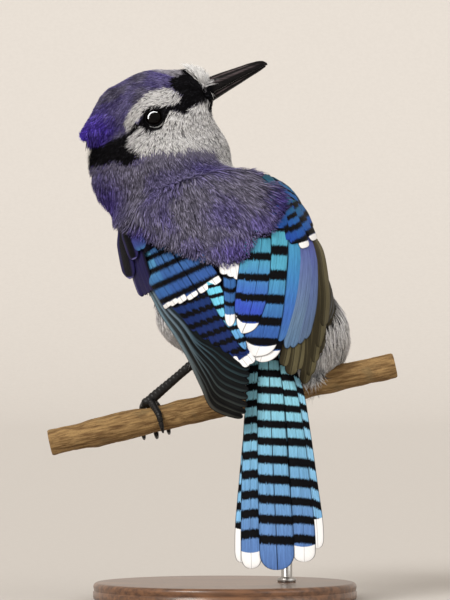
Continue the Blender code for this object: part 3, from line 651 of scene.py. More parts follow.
class Coat:
    """Locks of feather, each a closed thin blade lying along the body."""

    def __init__(self):
        self.parts = []

    def grow(self, roots, length, width, thick, rise, sink, colour, tipcolour, dirs=None,
             tree=None, vn=None, faces=None, yaw=0.16, info=None, bend=0.0, stand=0.0, shape="lock"):
        tree = tree or FTREE
        vn = FN if vn is None else vn
        faces = FF if faces is None else faces
        n = len(roots)
        if n == 0:
            return
        q, nr = surface(tree, vn, faces, roots)
        d = dirs if dirs is not None else lie(q, nr, info if info is not None else plumage(q))
        side = np.cross(nr, d)
        ang = RNG.normal(0, yaw, n)
        d = unit(d * np.cos(ang)[:, None] + side * np.sin(ang)[:, None])
        ts = (0.0, 0.34, 0.70, 1.0)
        rise = np.broadcast_to(rise, (n,))
        sink = np.broadcast_to(sink, (n,))
        pts, nrs = [q - nr * sink[:, None]], [nr]
        cur, cd, cn = q, d, nr
        for k in range(1, 4):
            step = (length * (ts[k] - ts[k - 1]))[:, None]
            cd = unit(cd + np.cross(cn, cd) * (bend * ts[k]) if bend is not None else cd)
            nxt = cur + cd * step
            q2, n2 = surface(tree, vn, faces, nxt)
            # the lock leaves the surface where it falls away sharply
            away = np.linalg.norm(q2 - nxt, axis=1)
            hold = smooth(1.2, 3.5, away)[:, None]
            q2 = q2 * (1 - hold) + (nxt - cn * 0.3) * hold
            n2 = unit(n2 * (1 - hold) + cn * hold)
            lift = (-sink + (rise + sink) * ts[k] ** 0.7 + stand * length * ts[k] ** 1.5)[:, None]
            pts.append(q2 + n2 * lift)
            nrs.append(n2)
            cd = unit(q2 - cur + 1e-9)
            cur, cn = q2, n2
        self.parts.append(dict(p=np.stack(pts, 1), n=np.stack(nrs, 1), w=width, t=thick,
                               c0=colour, c1=tipcolour, root=roots,
                               taper=(0.55, 1.0, 0.72) if shape == "lock" else (0.8, 1.0, 0.55)))

    def build(self, name, mats, limit=190000):
        """Meshes of the locks, split to stay under the size limit."""
        p = np.concatenate([a["p"] for a in self.parts])
        nr = np.concatenate([a["n"] for a in self.parts])
        w = np.concatenate([np.broadcast_to(a["w"], (len(a["p"]),)) for a in self.parts])
        th = np.concatenate([np.broadcast_to(a["t"], (len(a["p"]),)) for a in self.parts])
        c0 = np.concatenate([a["c0"] for a in self.parts])
        c1 = np.concatenate([a["c1"] for a in self.parts])
        tp = np.concatenate([np.tile(a["taper"], (len(a["p"]), 1)) for a in self.parts])
        root = np.concatenate([a["root"] for a in self.parts])
        uv0 = skin_uv(root)
        tang = unit(np.concatenate([p[:, 1:2] - p[:, 0:1], p[:, 2:] - p[:, :-2], p[:, 3:4] - p[:, 2:3]], 1))
        side = unit(np.cross(tang, nr))
        n = len(p)
        prof = tp * w[:, None] * 0.5
        verts = np.empty((n, 10, 3))
        for k in range(3):
            verts[:, 3 * k] = p[:, k] - side[:, k] * prof[:, k, None]
            verts[:, 3 * k + 1] = p[:, k] + side[:, k] * prof[:, k, None]
            verts[:, 3 * k + 2] = p[:, k] + nr[:, k] * (th * (1.0, 1.0, 0.7)[k])[:, None]
        verts[:, 9] = p[:, 3]
        tri = [(0, 1, 2)]
        for k in (0, 3):
            for a, b in ((0, 1), (1, 2), (2, 0)):
                tri += [(k + a, k + 3 + b, k + b), (k + a, k + 3 + a, k + 3 + b)]
        tri += [(6, 9, 7), (7, 9, 8), (8, 9, 6)]
        tri = np.array(tri)
        ts = np.array([0, 0, 0, 0.34, 0.34, 0.34, 0.7, 0.7, 0.7, 1.0])
        # each lock's colour runs from its root colour, which carries painted shade, to its tip colour
        col = c0[:, None] * (1 - ts[None, :, None]) + c1[:, None] * ts[None, :, None]
        cross = np.array([-1, 1, 0, -1, 1, 0, -0.7, 0.7, 0, 0])
        uv = np.empty((n, 10, 2))
        uv[..., 0] = uv0[:, None, 0] + 0.0013 * cross
        uv[..., 1] = uv0[:, None, 1] + 0.0026 * (ts - 0.5)
        uv = np.clip(uv, 0.001, 0.999)
        per = limit // len(tri)
        order = np.argsort(-root[:, 2], kind="stable")
        out = []
        chunks = max(1, math.ceil(n / per))
        for k in range(chunks):
            sel = order[k * n // chunks:(k + 1) * n // chunks]
            m = Mesh()
            idx = (np.arange(len(sel)) * 10)[:, None, None] + tri[None]
            m.add(verts[sel].reshape(-1, 3), f3=idx.reshape(-1, 3), uv=uv[sel].reshape(-1, 2),
                  Col=col[sel].reshape(-1, 3), Along=np.tile(ts, len(sel)),
                  Rnd=np.repeat(RNG.random(len(sel)), 10))
            ob = m.make(f"{name}_{k + 1}" if chunks > 1 else name, mats)
            out.append(ob)
        return out


# ------------------------------------------------------------ vaned feathers
class Relief:
    """Depth of a surface over the picture, carried smoothly past its outline."""

    def __init__(self, tree, box, fall=0.30, soft=5, step=2.0, top=None):
        x0, y0, x1, y1 = box
        self.x0, self.y0, self.step = x0, y0, step
        nx, ny = int((x1 - x0) / step) + 1, int((y1 - y0) / step) + 1
        d = np.full((ny, nx), np.nan)
        for i in range(ny):
            for j in range(nx):
                tgt = Vector(((x0 + j * step - 225) * PX, 0, CAM_Z - (y0 + i * step - 300) * PX))
                hit = tree.ray_cast(CAM, (tgt - CAM).normalized())
                if hit[0] is not None:
                    d[i, j] = hit[0].y
        while np.isnan(d).any():
            pad = np.pad(d, 1, constant_values=np.nan)
            around = np.stack([pad[1 + a:ny + 1 + a, 1 + b:nx + 1 + b] for a in (-1, 0, 1) for b in (-1, 0, 1)
                               if a or b])
            known = ~np.isnan(around)
            cnt = known.sum(0)
            fill = np.isnan(d) & (cnt > 0)
            mean = np.where(known, around, 0).sum(0) / np.maximum(cnt, 1)
            d[fill] = mean[fill] + fall * step
        for _ in range(soft):
            p = np.pad(d, 1, mode="edge")
            d = 0.25 * p[:-2, 1:-1] + 0.5 * p[1:-1, 1:-1] + 0.25 * p[2:, 1:-1]
            p = np.pad(d, 1, mode="edge")
            d = 0.25 * p[1:-1, :-2] + 0.5 * p[1:-1, 1:-1] + 0.25 * p[1:-1, 2:]
        self.d = d

    def depth(self, x, y):
        u = np.clip((x - self.x0) / self.step, 0, self.d.shape[1] - 1.001)
        v = np.clip((y - self.y0) / self.step, 0, self.d.shape[0] - 1.001)
        i, j = v.astype(int), u.astype(int)
        fu, fv = u - j, v - i
        d = self.d
        return ((d[i, j] * (1 - fu) + d[i, j + 1] * fu) * (1 - fv)
                + (d[i + 1, j] * (1 - fu) + d[i + 1, j + 1] * fu) * fv)

    def place(self, x, y):
        """Points and outward normals under places in the picture."""
        dep = self.depth(x, y)
        gx = (self.depth(x + 1.5, y) - self.depth(x - 1.5, y)) / (3.0 * PX)
        gz = -(self.depth(x, y + 1.5) - self.depth(x, y - 1.5)) / (3.0 * PX)
        nrm = unit(np.stack([np.clip(gx, -1.3, 1.3), -np.ones_like(gx), np.clip(gz, -1.3, 1.3)], -1))
        k = (CAM_D + dep) / CAM_D * PX
        return np.stack([(x - 225) * k, dep, CAM_Z - (y - 300) * k], -1), nrm


def curve_through(ctrl, n):
    """Even smooth curve through a few points."""
    c = np.asarray(ctrl, float)
    if len(c) == 2:
        return c[0] + (c[1] - c[0]) * np.linspace(0, 1, n)[:, None]
    ext = np.vstack([2 * c[0] - c[1], c, 2 * c[-1] - c[-2]])
    dense = []
    for i in range(len(c) - 1):
        p0, p1, p2, p3 = ext[i:i + 4]
        t = np.linspace(0, 1, 24, endpoint=(i == len(c) - 2))[:, None]
        dense.append(0.5 * ((2 * p1) + (-p0 + p2) * t + (2 * p0 - 5 * p1 + 4 * p2 - p3) * t**2
                            + (-p0 + 3 * p1 - 3 * p2 + p3) * t**3))
    dense = np.vstack(dense)
    s = np.concatenate([[0], np.cumsum(np.linalg.norm(np.diff(dense, axis=0), axis=1))])
    want = np.linspace(0, s[-1], n)
    return np.stack([np.interp(want, s, dense[:, k]) for k in range(c.shape[1])], 1)


class Vanes:
    """A piece made of single feathers, each a closed thin vane with a shaft."""

    def __init__(self, cells):
        self.m = Mesh()
        self.grid = math.ceil(math.sqrt(cells))
        self.count = 0

    def add(self, spine, half, layer, colour, *, normals=None, tree=None, nu=8, nv=22,
            round_tip=0.12, tip_white=0.0, tip_soft=0.25, bars=None, duty=0.0, edge=0.6, shaft=0.35,
            tilt=0.0, arch=0.35, thick=0.24, jump=0.0, tip_lift=0.0, ragged=0.4, follow=True, skew=0.0,
            root_sink=0.6, drop=-1.3, bow=0.22, spot=0.0):
        """spine: 3-D points along the feather; half: half-widths, root to tip; colour: (along, across) -> rgb."""
        tree = tree or VTREE
        sp = curve_through(spine, nv)
        length = np.linalg.norm(np.diff(sp, axis=0), axis=1).sum()
        t = np.linspace(0, 1, nv)
        # crowd the rows toward the tip so that it rounds off cleanly
        t = 1 - (1 - t) ** 1.35
        sp = np.stack([np.interp(t, np.linspace(0, 1, nv), sp[:, k]) for k in range(3)], 1)
        wid = np.interp(t, np.linspace(0, 1, len(half)), half)
        tc = 1 - round_tip
        cap = np.sqrt(np.clip(1 - (np.clip(t - tc, 0, None) / round_tip) ** 2, 0.0, 1))
        wid = np.maximum(wid * cap, 0.05)
        if normals is None:
            rel = sp - TRUNK_AT
            rad = rel - np.multiply.outer(rel @ BF, BF)
            nrm = unit(rad)
        else:
            nrm = np.broadcast_to(unit(np.asarray(normals, float)), sp.shape).copy()
        # settle the spine on the carrier
        if follow:
            base = np.empty_like(sp)
            for i in range(nv):
                o = sp[i] + nrm[i] * 14
                hit = tree.ray_cast(o, -nrm[i], 26)
                base[i] = hit[0] if hit[0] is not None else sp[i]
            h = ((base - sp) * nrm).sum(1)
            h = np.where(np.abs(h) > 4.5, 0.0, h)
            for _ in range(3):
                h = np.convolve(np.pad(h, 1, mode="edge"), (0.25, 0.5, 0.25), "valid")
            sp = sp + nrm * h[:, None]
        tang = unit(np.gradient(sp, axis=0))
        side = unit(np.cross(tang, nrm))
        a = np.linspace(-1, 1, nu)
        off = a
        top = np.empty((nv, nu, 3))
        for i in range(nv):
            for j in range(nu):
                q = sp[i] + side[i] * (off[j] + skew) * wid[i]
                lift = (layer + drop + arch * (1 - a[j] ** 2) + tilt * a[j] + tip_lift * t[i] ** 2
                        - root_sink * (1 - smooth(0.0, 0.35, t[i])))
                if follow:
                    hit = tree.ray_cast(q + nrm[i] * 8, -nrm[i], 14)
                    if hit[0] is not None:
                        dh = ((np.array(hit[0]) - q) @ nrm[i])
                        q = q + nrm[i] * min(max(dh, -2.2), 3.0)
                    else:
                        q = q - nrm[i] * 0.6 * abs(off[j]) ** 2
                top[i, j] = q + nrm[i] * lift
        if follow:
            # even out the carrier's facets along and across the vane
            for _ in range(2):
                g = top.copy()
                g[1:-1] = 0.25 * top[:-2] + 0.5 * top[1:-1] + 0.25 * top[2:]
                top = g
        return self.close(top, nrm[:, None, :], t, a, wid, length, colour, thick, bars, duty, spot, bow,
                          Edge=edge, Shaft=shaft, TipW=tip_white, TipS=tip_soft, Rag=ragged, Jump=jump)

    def lay(self, relief, pts, half, layer, colour, *, nu=8, nv=30, round_tip=0.12, tip_white=0.0, tip_soft=0.25,
            bars=None, duty=0.0, spot=0.0, edge=0.6, shaft=0.35, tilt=0.0, arch=0.30, thick=0.22, jump=0.0,
            ragged=0.4, skew=0.0, sink=0.5, fade=0.30, bow=0.22, full=2.0):
        """A feather given by its course and half-widths in the picture, over a relief."""
        c = curve_through(np.asarray(pts, float), 60)
        t = 1 - (1 - np.linspace(0, 1, nv)) ** 1.7
        ss = np.linspace(0, 1, 60)
        c = np.stack([np.interp(t, ss, c[:, k]) for k in range(2)], 1)
        tan = unit(np.gradient(c, t, axis=0))
        perp = np.stack([-tan[:, 1], tan[:, 0]], 1)
        wid = np.interp(t, np.linspace(0, 1, len(half)), half)
        for _ in range(2):
            wid = np.convolve(np.pad(wid, 1, mode="edge"), (0.25, 0.5, 0.25), "valid")
        x = np.clip(t - (1 - round_tip), 0, None) / round_tip
        wid = np.maximum(wid * np.clip(1 - x ** full, 0, 1) ** (1 / full), 0.10)
        a = np.linspace(-1, 1, nu)
        g = c[:, None, :] + perp[:, None, :] * ((a[None] + skew) * wid[:, None])[..., None]
        base, nrm = relief.place(g[..., 0], g[..., 1])
        lift = (layer + arch * (1 - a[None] ** 2) + tilt * a[None]
                - sink * (1 - smooth(0.0, fade, t))[:, None])
        top = base + nrm * lift[..., None]
        mid = top[:, nu // 2]
        run = np.concatenate([[0], np.cumsum(np.linalg.norm(np.diff(mid, axis=0), axis=1))])
        wid3 = np.linalg.norm(top[:, -1] - top[:, 0], axis=1) / 2
        return self.close(top, nrm, run / run[-1], a, wid3, run[-1], colour, thick, bars, duty, spot, bow,
                          Edge=edge, Shaft=shaft, TipW=tip_white, TipS=tip_soft, Rag=ragged, Jump=jump)

    def close(self, top, nrm, t, a, wid, length, colour, thick, bars, duty, spot, bow, **values):
        """Give the vane an underside and rims, and note its markings."""
        nv, nu = top.shape[:2]
        th = thick * (1 - 0.55 * a ** 2)[None, :, None] * np.ones((nv, 1, 1))
        under = top - nrm * th
        along = (t * length)[:, None] + 0 * a[None]
        across = (a[None] * wid[:, None])
        col = colour(t[:, None] + 0 * a[None], a[None] + 0 * t[:, None])
        vx, vy = to_view(top)
        ph = bars(top, along, across, vx, vy) if bars is not None else np.zeros_like(along)
        attrs = dict(Col=col.reshape(-1, 3), Acr=(a[None] + 0 * t[:, None]).ravel(),
                     Wid=(wid[:, None] + 0 * a[None]).ravel(), Alg=along.ravel(),
                     Tip=(length - along - bow * (a[None] ** 2) * wid.max()).ravel(),
                     Bar=ph.ravel(), Duty=(duty * (1 - spot * a[None] ** 2) + 0 * t[:, None]).ravel())
        n = nv * nu
        rnd = float(RNG.random())
        quads_t, quads_u = [], []
        for i in range(nv - 1):
            for j in range(nu - 1):
                k = i * nu + j
                quads_t.append((k, k + nu, k + nu + 1, k + 1))
                quads_u.append((n + k, n + k + 1, n + k + nu + 1, n + k + nu))
        rim = []
        edge_loop = ([(i, 0) for i in range(nv)] + [(nv - 1, j) for j in range(1, nu)]
                     + [(i, nu - 1) for i in range(nv - 2, -1, -1)] + [(0, j) for j in range(nu - 2, 0, -1)])
        idx = [i * nu + j for i, j in edge_loop]
        for p, q in zip(idx, idx[1:] + idx[:1]):
            rim.append((p, n + p, n + q, q))
        cx, cy = self.count % self.grid, self.count // self.grid
        self.count += 1
        g = self.grid
        u0 = (0.04 + 0.42 * (a[None] * 0.5 + 0.5) + 0 * t[:, None])
        v0 = (0.04 + 0.92 * t[:, None] + 0 * a[None])
        uvt = np.stack([(cx + u0) / g, (cy + v0) / g], -1).reshape(-1, 2)
        uvu = np.stack([(cx + u0 + 0.5) / g, (cy + v0) / g], -1).reshape(-1, 2)
        extra = dict(Rnd=rnd, **values)
        both = {k: np.concatenate([x, x]) for k, x in attrs.items()}
        both["Col"] = np.concatenate([attrs["Col"], attrs["Col"] * 0.45 + np.array([0.05, 0.05, 0.055])])
        self.m.add(np.vstack([top.reshape(-1, 3), under.reshape(-1, 3)]),
                   f4=np.array(quads_t + quads_u + rim), uv=np.vstack([uvt, uvu]),
                   **both, **extra)
        return top


# ------------------------------------------------------------------- materials
class Graph:
    """Small helper for building node materials."""

    def __init__(self, name, rough=0.6, spec=0.3, coat=0.0, coat_rough=0.1, metal=0.0, sheen=0.0):
        self.mat = bpy.data.materials.new(name)
        self.mat.use_nodes = True
        self.nt = self.mat.node_tree
        self.b = self.nt.nodes["Principled BSDF"]
        self.b.inputs["Roughness"].default_value = rough
        self.b.inputs["Specular IOR Level"].default_value = spec
        self.b.inputs["Metallic"].default_value = metal
        self.b.inputs["Coat Weight"].default_value = coat
        self.b.inputs["Coat Roughness"].default_value = coat_rough
        self.b.inputs["Sheen Weight"].default_value = sheen

    def node(self, kind, **props):
        n = self.nt.nodes.new(kind)
        for k, v in props.items():
            setattr(n, k, v)
        return n

    def put(self, sock, value):
        if isinstance(value, bpy.types.NodeSocket):
            self.nt.links.new(value, sock)
        elif isinstance(value, (tuple, list, np.ndarray)) and len(value) == 3 and sock.type == 'RGBA':
            sock.default_value = (*[float(x) for x in value], 1.0)
        elif value is not None:
            sock.default_value = value

    def attr(self, name, colour=False):
        n = self.node("ShaderNodeAttribute", attribute_name=name)
        return n.outputs["Color" if colour else "Fac"]

    def math(self, op, a, b=None, c=None):
        n = self.node("ShaderNodeMath", operation=op)
        self.put(n.inputs[0], a)
        if b is not None:
            self.put(n.inputs[1], b)
        if c is not None:
            self.put(n.inputs[2], c)
        return n.outputs[0]

    def step(self, x, e0, e1, lo=0.0, hi=1.0):
        n = self.node("ShaderNodeMapRange", interpolation_type='SMOOTHSTEP')
        self.put(n.inputs["Value"], x)
        self.put(n.inputs["From Min"], e0)
        self.put(n.inputs["From Max"], e1)
        self.put(n.inputs["To Min"], lo)
        self.put(n.inputs["To Max"], hi)
        return n.outputs["Result"]

    def mix(self, fac, a, b, mode='MIX'):
        n = self.node("ShaderNodeMix", data_type='RGBA', blend_type=mode)
        self.put(n.inputs[0], fac)
        self.put(n.inputs[6], a)
        self.put(n.inputs[7], b)
        return n.outputs[2]

    def noise(self, vec=None, scale=5.0, detail=2.0, rough=0.5, dims='3D', w=None):
        n = self.node("ShaderNodeTexNoise", noise_dimensions=dims)
        if vec is not None and dims != '1D':
            self.put(n.inputs["Vector"], vec)
        if w is not None:
            self.put(n.inputs["W"], w)
        n.inputs["Scale"].default_value = scale
        n.inputs["Detail"].default_value = detail
        n.inputs["Roughness"].default_value = rough
        return n.outputs["Fac"]

    def combine(self, x, y, z):
        n = self.node("ShaderNodeCombineXYZ")
        for s, v in zip(n.inputs, (x, y, z)):
            self.put(s, v)
        return n.outputs[0]

    def object_coords(self):
        return self.node("ShaderNodeTexCoord").outputs["Object"]

    def mapping(self, vec, scale=(1, 1, 1), rot=(0, 0, 0), loc=(0, 0, 0)):
        n = self.node("ShaderNodeMapping")
        self.put(n.inputs["Vector"], vec)
        n.inputs["Scale"].default_value = scale
        n.inputs["Rotation"].default_value = rot
        n.inputs["Location"].default_value = loc
        return n.outputs[0]

    def bump(self, height, strength=0.3, dist=0.0002):
        n = self.node("ShaderNodeBump")
        n.inputs["Strength"].default_value = strength
        n.inputs["Distance"].default_value = dist
        self.put(n.inputs["Height"], height)
        self.nt.links.new(n.outputs["Normal"], self.b.inputs["Normal"])

    def base(self, sock):
        self.put(self.b.inputs["Base Color"], sock)


def vane_material():
    g = Graph("feather_vane", rough=0.6, spec=0.06)
    col = g.attr("Col", True)
    acr, wid, alg, tip = (g.attr(k) for k in ("Acr", "Wid", "Alg", "Tip"))
    bar, duty, rag, rnd = (g.attr(k) for k in ("Bar", "Duty", "Rag", "Rnd"))
    aa = g.math('ABSOLUTE', acr)
    mm = g.math('MULTIPLY', acr, wid)
    am = g.math('ABSOLUTE', mm)
    seed = g.math('MULTIPLY', rnd, 91.0)
    # barbs run out and toward the tip
    barb = g.math('ADD', g.math('MULTIPLY_ADD', am, -1.1, alg), seed)
    fine = g.noise(w=g.math('MULTIPLY', barb, 2.6), scale=1.0, detail=4.0, rough=0.7, dims='1D')
    streak = g.noise(vec=g.combine(g.math('MULTIPLY', mm, 1.7), g.math('MULTIPLY', alg, 0.10), seed),
                     scale=1.0, detail=3.0, rough=0.6)
    lum = g.math('ADD', g.step(fine, 0.30, 0.72, 0.86, 1.12),
                 g.step(streak, 0.30, 0.70, -0.16, 0.14))
    shade = g.node("ShaderNodeVectorMath", operation='SCALE')
    g.put(shade.inputs[0], col)
    g.put(shade.inputs["Scale"], lum)
    c = shade.outputs[0]
    # ragged cross bars
    rough_edge = g.noise(w=g.math('ADD', g.math('MULTIPLY', mm, 2.3), seed), scale=1.0, detail=4.0,
                         rough=0.75, dims='1D')
    wob = g.math('MULTIPLY', g.math('SUBTRACT', rough_edge, 0.5), g.math('MULTIPLY', rag, 0.55))
    jump = g.math('MULTIPLY', g.attr("Jump"), g.math('GREATER_THAN', acr, 0.0))
    x = g.math('FRACT', g.math('ADD', g.math('ADD', bar, jump), wob))
    off = g.math('ABSOLUTE', g.math('SUBTRACT', x, 0.5))
    half = g.math('MULTIPLY', duty, 0.5)
    m = g.math('SUBTRACT', 1.0, g.step(off, g.math('SUBTRACT', half, 0.018), g.math('ADD', half, 0.022)))
    m = g.math('MULTIPLY', m, g.math('GREATER_THAN', duty, 0.01))
    c = g.mix(m, c, (0.0016, 0.0016, 0.0026))
    # pale or white tip, its inner border ragged
    tw, ts = g.attr("TipW"), g.attr("TipS")
    d = g.math('ADD', tip, g.math('MULTIPLY', g.math('SUBTRACT', rough_edge, 0.5), g.math('MULTIPLY', ts, 8.0)))
    t = g.math('MULTIPLY', g.math('SUBTRACT', 1.0, g.step(g.math('SUBTRACT', d, tw), -0.18, 0.18)),
               g.math('GREATER_THAN', tw, 0.01))
    white = g.mix(g.step(fine, 0.35, 0.65), (0.80, 0.80, 0.80), (0.90, 0.90, 0.91))
    c = g.mix(t, c, white)
    # dark shaft
    sh = g.math('MULTIPLY', g.math('SUBTRACT', 1.0, g.step(am, 0.10, 0.30)), g.attr("Shaft"))
    c = g.mix(sh, c, (0.002, 0.002, 0.004))
    # painted shade between overlapping feathers, laid as a dark line round the vane's edge
    e = g.math('MULTIPLY', g.math('SUBTRACT', 1.0, aa), wid)
    ed = g.math('MULTIPLY', g.math('SUBTRACT', 1.0, g.step(e, 0.14, 0.42)), g.attr("Edge"))
    c = g.mix(ed, c, (0.002, 0.002, 0.004))
    g.base(c)
    ridge = g.math('SINE', g.math('MULTIPLY', barb, 15.0))
    hgt = g.math('ADD', g.math('MULTIPLY', ridge, 0.35), g.math('MULTIPLY', fine, 1.2))
    g.bump(hgt, 0.35, 0.00012)
    return g.mat


def lock_material():
    g = Graph("feather_coat", rough=0.75, spec=0.05)
    col = g.attr("Col", True)
    vec = g.mapping(g.object_coords(), scale=(1500, 1500, 1500))
    n = g.noise(vec=vec, scale=1.0, detail=3.0, rough=0.6)
    lum = g.step(n, 0.25, 0.75, 0.90, 1.10)
    shade = g.node("ShaderNodeVectorMath", operation='SCALE')
    g.put(shade.inputs[0], col)
    g.put(shade.inputs["Scale"], lum)
    g.base(shade.outputs[0])
    g.bump(n, 0.2, 0.0001)
    return g.mat


def skin_material():
    g = Graph("under_down_painted_shade", rough=0.85, spec=0.1)
    # Col holds the coat's markings darkened as painted shade
    col = g.attr("Col", True)
    vec = g.mapping(g.object_coords(), scale=(900, 900, 900))
    n = g.noise(vec=vec, scale=1.0, detail=4.0, rough=0.65)
    shade = g.node("ShaderNodeVectorMath", operation='SCALE')
    g.put(shade.inputs[0], col)
    g.put(shade.inputs["Scale"], g.step(n, 0.2, 0.8, 0.75, 1.15))
    g.base(shade.outputs[0])
    g.bump(n, 0.5, 0.0003)
    return g.mat


VANE = vane_material()
LOCK = lock_material()
DOWN_PAINTED_SHADE = skin_material()
skin.data.materials.append(DOWN_PAINTED_SHADE)


# --------------------------------------------------------- wing and tail feathers
def V(*pts):
    """Feather course given in the picture, laid on the body."""
    out = []
    for x, y in pts:
        p = at_view(x, y, VTREE)[0]
        if out and p[1] > out[-1][1] + 7.0:
            # fell off the wing onto what lies behind: carry the course on
            last = out[-1]
            if len(out) > 1:
                run = out[-1] - out[-2]
                slope = run[1] / (math.hypot(run[0], run[2]) + 1e-6)
            else:
                slope = -0.3
            q = at_depth(x, y, last[1])
            dy = slope * math.hypot(q[0] - last[0], q[2] - last[2])
            p = at_depth(x, y, last[1] + float(np.clip(dy, -8, 4)))
        out.append(p)
    return out


def B(*pts):
    """Feather course given round the trunk: station and angle."""
    return [at_body(y, deg, VTREE)[0] for y, deg in pts]


def along_line(pts, k):
    """Point a share k of the way along a broken line."""
    p = np.asarray(pts, float)
    s = np.concatenate([[0], np.cumsum(np.linalg.norm(np.diff(p, axis=0), axis=1))])
    return np.array([np.interp(k * s[-1], s, p[:, i]) for i in range(2)])


def ramp(*stops):
    """Colour along the feather; stops are (share of length, 8-bit colour)."""
    ts = [s[0] for s in stops]
    cs = np.array([srgb(*s[1]) for s in stops])

    def f(t, a):
        return np.stack([np.interp(t, ts, cs[:, k]) for k in range(3)], -1)
    return f


def two_tone(outer, inner, bias=0.0):
    """One colour course on the outer web (across > 0), another on the inner."""
    def f(t, a):
        w = smooth(-0.30 + bias, 0.30 + bias, a + 0 * t)[..., None]
        return inner(t, a) * (1 - w) + outer(t, a) * w
    return f


def rows(at, axis=(0.0, 1.0), first=0.5, wave=0.0, x0=0.0, stop=False):
    """Bars at given places along a picture direction, read at x0."""
    at = np.asarray(at, float) + x0 * axis[0]
    step = np.diff(at)
    lo, hi = at[0] - step[0] * 3, at[-1] + step[-1] * 3
    xs = np.concatenate([[lo], at, [hi]])
    ys = np.concatenate([[first - 3], first + np.arange(len(at)), [first + len(at) + 2]])
    if stop:
        xs = np.concatenate([xs[:-1], [at[-1] + step[-1] * 0.5, 1e4]])
        ys = np.concatenate([ys[:-1], [first + len(at) - 0.5] * 2])

    def f(top, along, across, vx, vy):
        v = vx * axis[0] + vy * axis[1]
        if wave:
            w = np.abs(across).max()
            v = v + wave * (1 - (across / max(w, 1e-6)) ** 2)
        return np.interp(v, xs, ys)
    return f


wl = Vanes(81)
LW = Relief(WING_L, (104, 214, 268, 436), fall=0.22, soft=5)
# left primaries: slate, stacked, the outermost lowest
OUT_L = [(147.6, 288), (149.0, 297.3), (155.5, 308), (163, 317.7), (170.3, 329.2), (176.8, 339), (184.2, 350.5),
         (190, 361), (196, 374), (201.1, 384.2), (206.2, 395.6), (210, 404.5), (215.1, 413.5), (221.5, 418.8),
         (228, 421.5), (235, 421)]
IN_L = [(158, 288), (164.5, 299.7), (175.2, 308.7), (184.2, 316), (189, 323.5), (193.2, 331.6), (201.4, 337.4),
        (211.3, 343), (221.5, 350), (229, 355.6), (236, 361), (242, 364), (246.5, 366)]
TIPS_L = [(243, 417.5), (246.0, 412.5), (247.5, 405.5), (248, 397.5), (248.5, 390), (249, 382.5), (249.5, 375.5),
          (249.5, 369)]
# near the root they lie in three groups, then they fan out
GROUP_L = (0.15, 0.20, 0.47, 0.51, 0.55, 0.79, 0.83, 0.88)
NP = 8
for k in range(NP):
    s_ = (k + 0.5) / NP
    body = [lerp(along_line(OUT_L, q), along_line(IN_L, q), lerp(GROUP_L[k], s_, float(smooth(0.30, 0.78, np.array(q)))))
            for q in (0.02, 0.18, 0.36, 0.54, 0.70, 0.83)]
    half = [3.0, 4.1, 4.5 + 0.3 * ((k * 3) % 3), 4.9, 4.9 + 0.4 * ((k * 5) % 3 - 1), 3.5]
    tip = np.array(TIPS_L[k], float)
    turn = lerp(body[-1], tip, 0.55) + np.array([0.3, 1.6])
    warm = 1 - k / (NP - 1)
    pale = lerp(np.array([122, 140, 158.0]), np.array([116, 148, 166.0]), warm)
    mid = lerp(np.array([62, 84, 98.0]), np.array([92, 106, 112.0]), warm)
    low = lerp(np.array([36, 54, 60.0]), np.array([58, 58, 54.0]), warm)
    web = ramp((0, pale), (0.30, lerp(pale, mid, 0.25)), (0.52, mid), (0.78, low), (1, low * 0.8))
    ink = ramp((0, pale * 0.75), (0.22, mid * 0.55), (0.45, low * 0.36), (0.75, low * 0.30), (1, low * 0.24))
    wl.lay(LW, body + [turn, tip], half, -0.55 + 0.15 * k, two_tone(web, ink, 0.18 + 0.10 * ((k * 2) % 3)), tilt=-0.14,
           edge=1.0, shaft=0.8, round_tip=0.055, nv=48, nu=12, skew=0.0, full=2.4, sink=0.2)
# left secondaries: navy with spots
navy = ramp((0, (26, 52, 104)), (0.5, (24, 44, 98)), (1, (26, 40, 90)))
NAVY_TOP = [(173, 303), (180, 300), (187.5, 298), (194.5, 296), (201, 294), (207, 294)]
NAVY_END = [(196, 331.5), (208, 339.5), (219, 347), (229.5, 353), (238, 356.5), (243.5, 355)]
for k in range(6):
    root, tip = np.array(NAVY_TOP[k], float), np.array(NAVY_END[k], float)
    wl.lay(LW, [root - np.array([5, 9]), root, lerp(root, tip, 0.5) + np.array([0.6, -0.8]), tip], (4.2, 4.4, 4.9, 4.7),
           0.62 + 0.11 * k, navy, bars=rows([289 - 1.5 * k + 11.6 * q for q in range(7)], axis=(0.10, 0.99), x0=200,
                                            wave=1.2), duty=0.50, spot=0.62, tilt=-0.10, edge=0.35, shaft=0.25,
           ragged=1.0, nv=40, round_tip=0.09)
for k, (a_, b_, c_) in enumerate((((222, 338), (232, 351), (242.5, 362.5)), ((228, 340), (238, 354), (247.5, 367.0)),
                                ((234, 338), (243.5, 351.5), (253.0, 363.5)))):
    wl.lay(LW, [a_, b_, c_], (4.4, 5.0, 5.2), 0.60 + 0.12 * k, navy, tip_white=4.6, edge=0.8, tilt=-0.06,
           round_tip=0.12)
# left tertials: a sky-blue strip, then a broad blue one with curved bars
sky = ramp((0, (104, 196, 222)), (0.5, (112, 196, 226)), (0.8, (98, 158, 208)), (1, (92, 146, 198)))
wl.lay(LW, [(206, 272), (215.5, 292), (224.5, 311), (235, 330), (244.5, 351)], (5.6, 7.4, 6.8, 4.8, 3.2), 1.95, sky,
       bars=rows([283.5, 294, 306, 319, 330.5, 345], axis=(0.25, 1.0), x0=222), duty=0.36, edge=0.9, tilt=-0.05,
       ragged=1.0, nv=44)
blue = ramp((0, (58, 108, 165)), (0.5, (52, 94, 156)), (1, (60, 108, 160)))
wl.lay(LW, [(227.6, 262), (229.4, 282), (230.2, 304), (230.4, 328)], (5.4, 6.1, 5.6, 4.3), 2.25, blue,
       bars=rows([274, 288, 301.5], wave=-3.0, stop=True), duty=0.36, edge=0.9, tip_white=5.6, ragged=1.0)
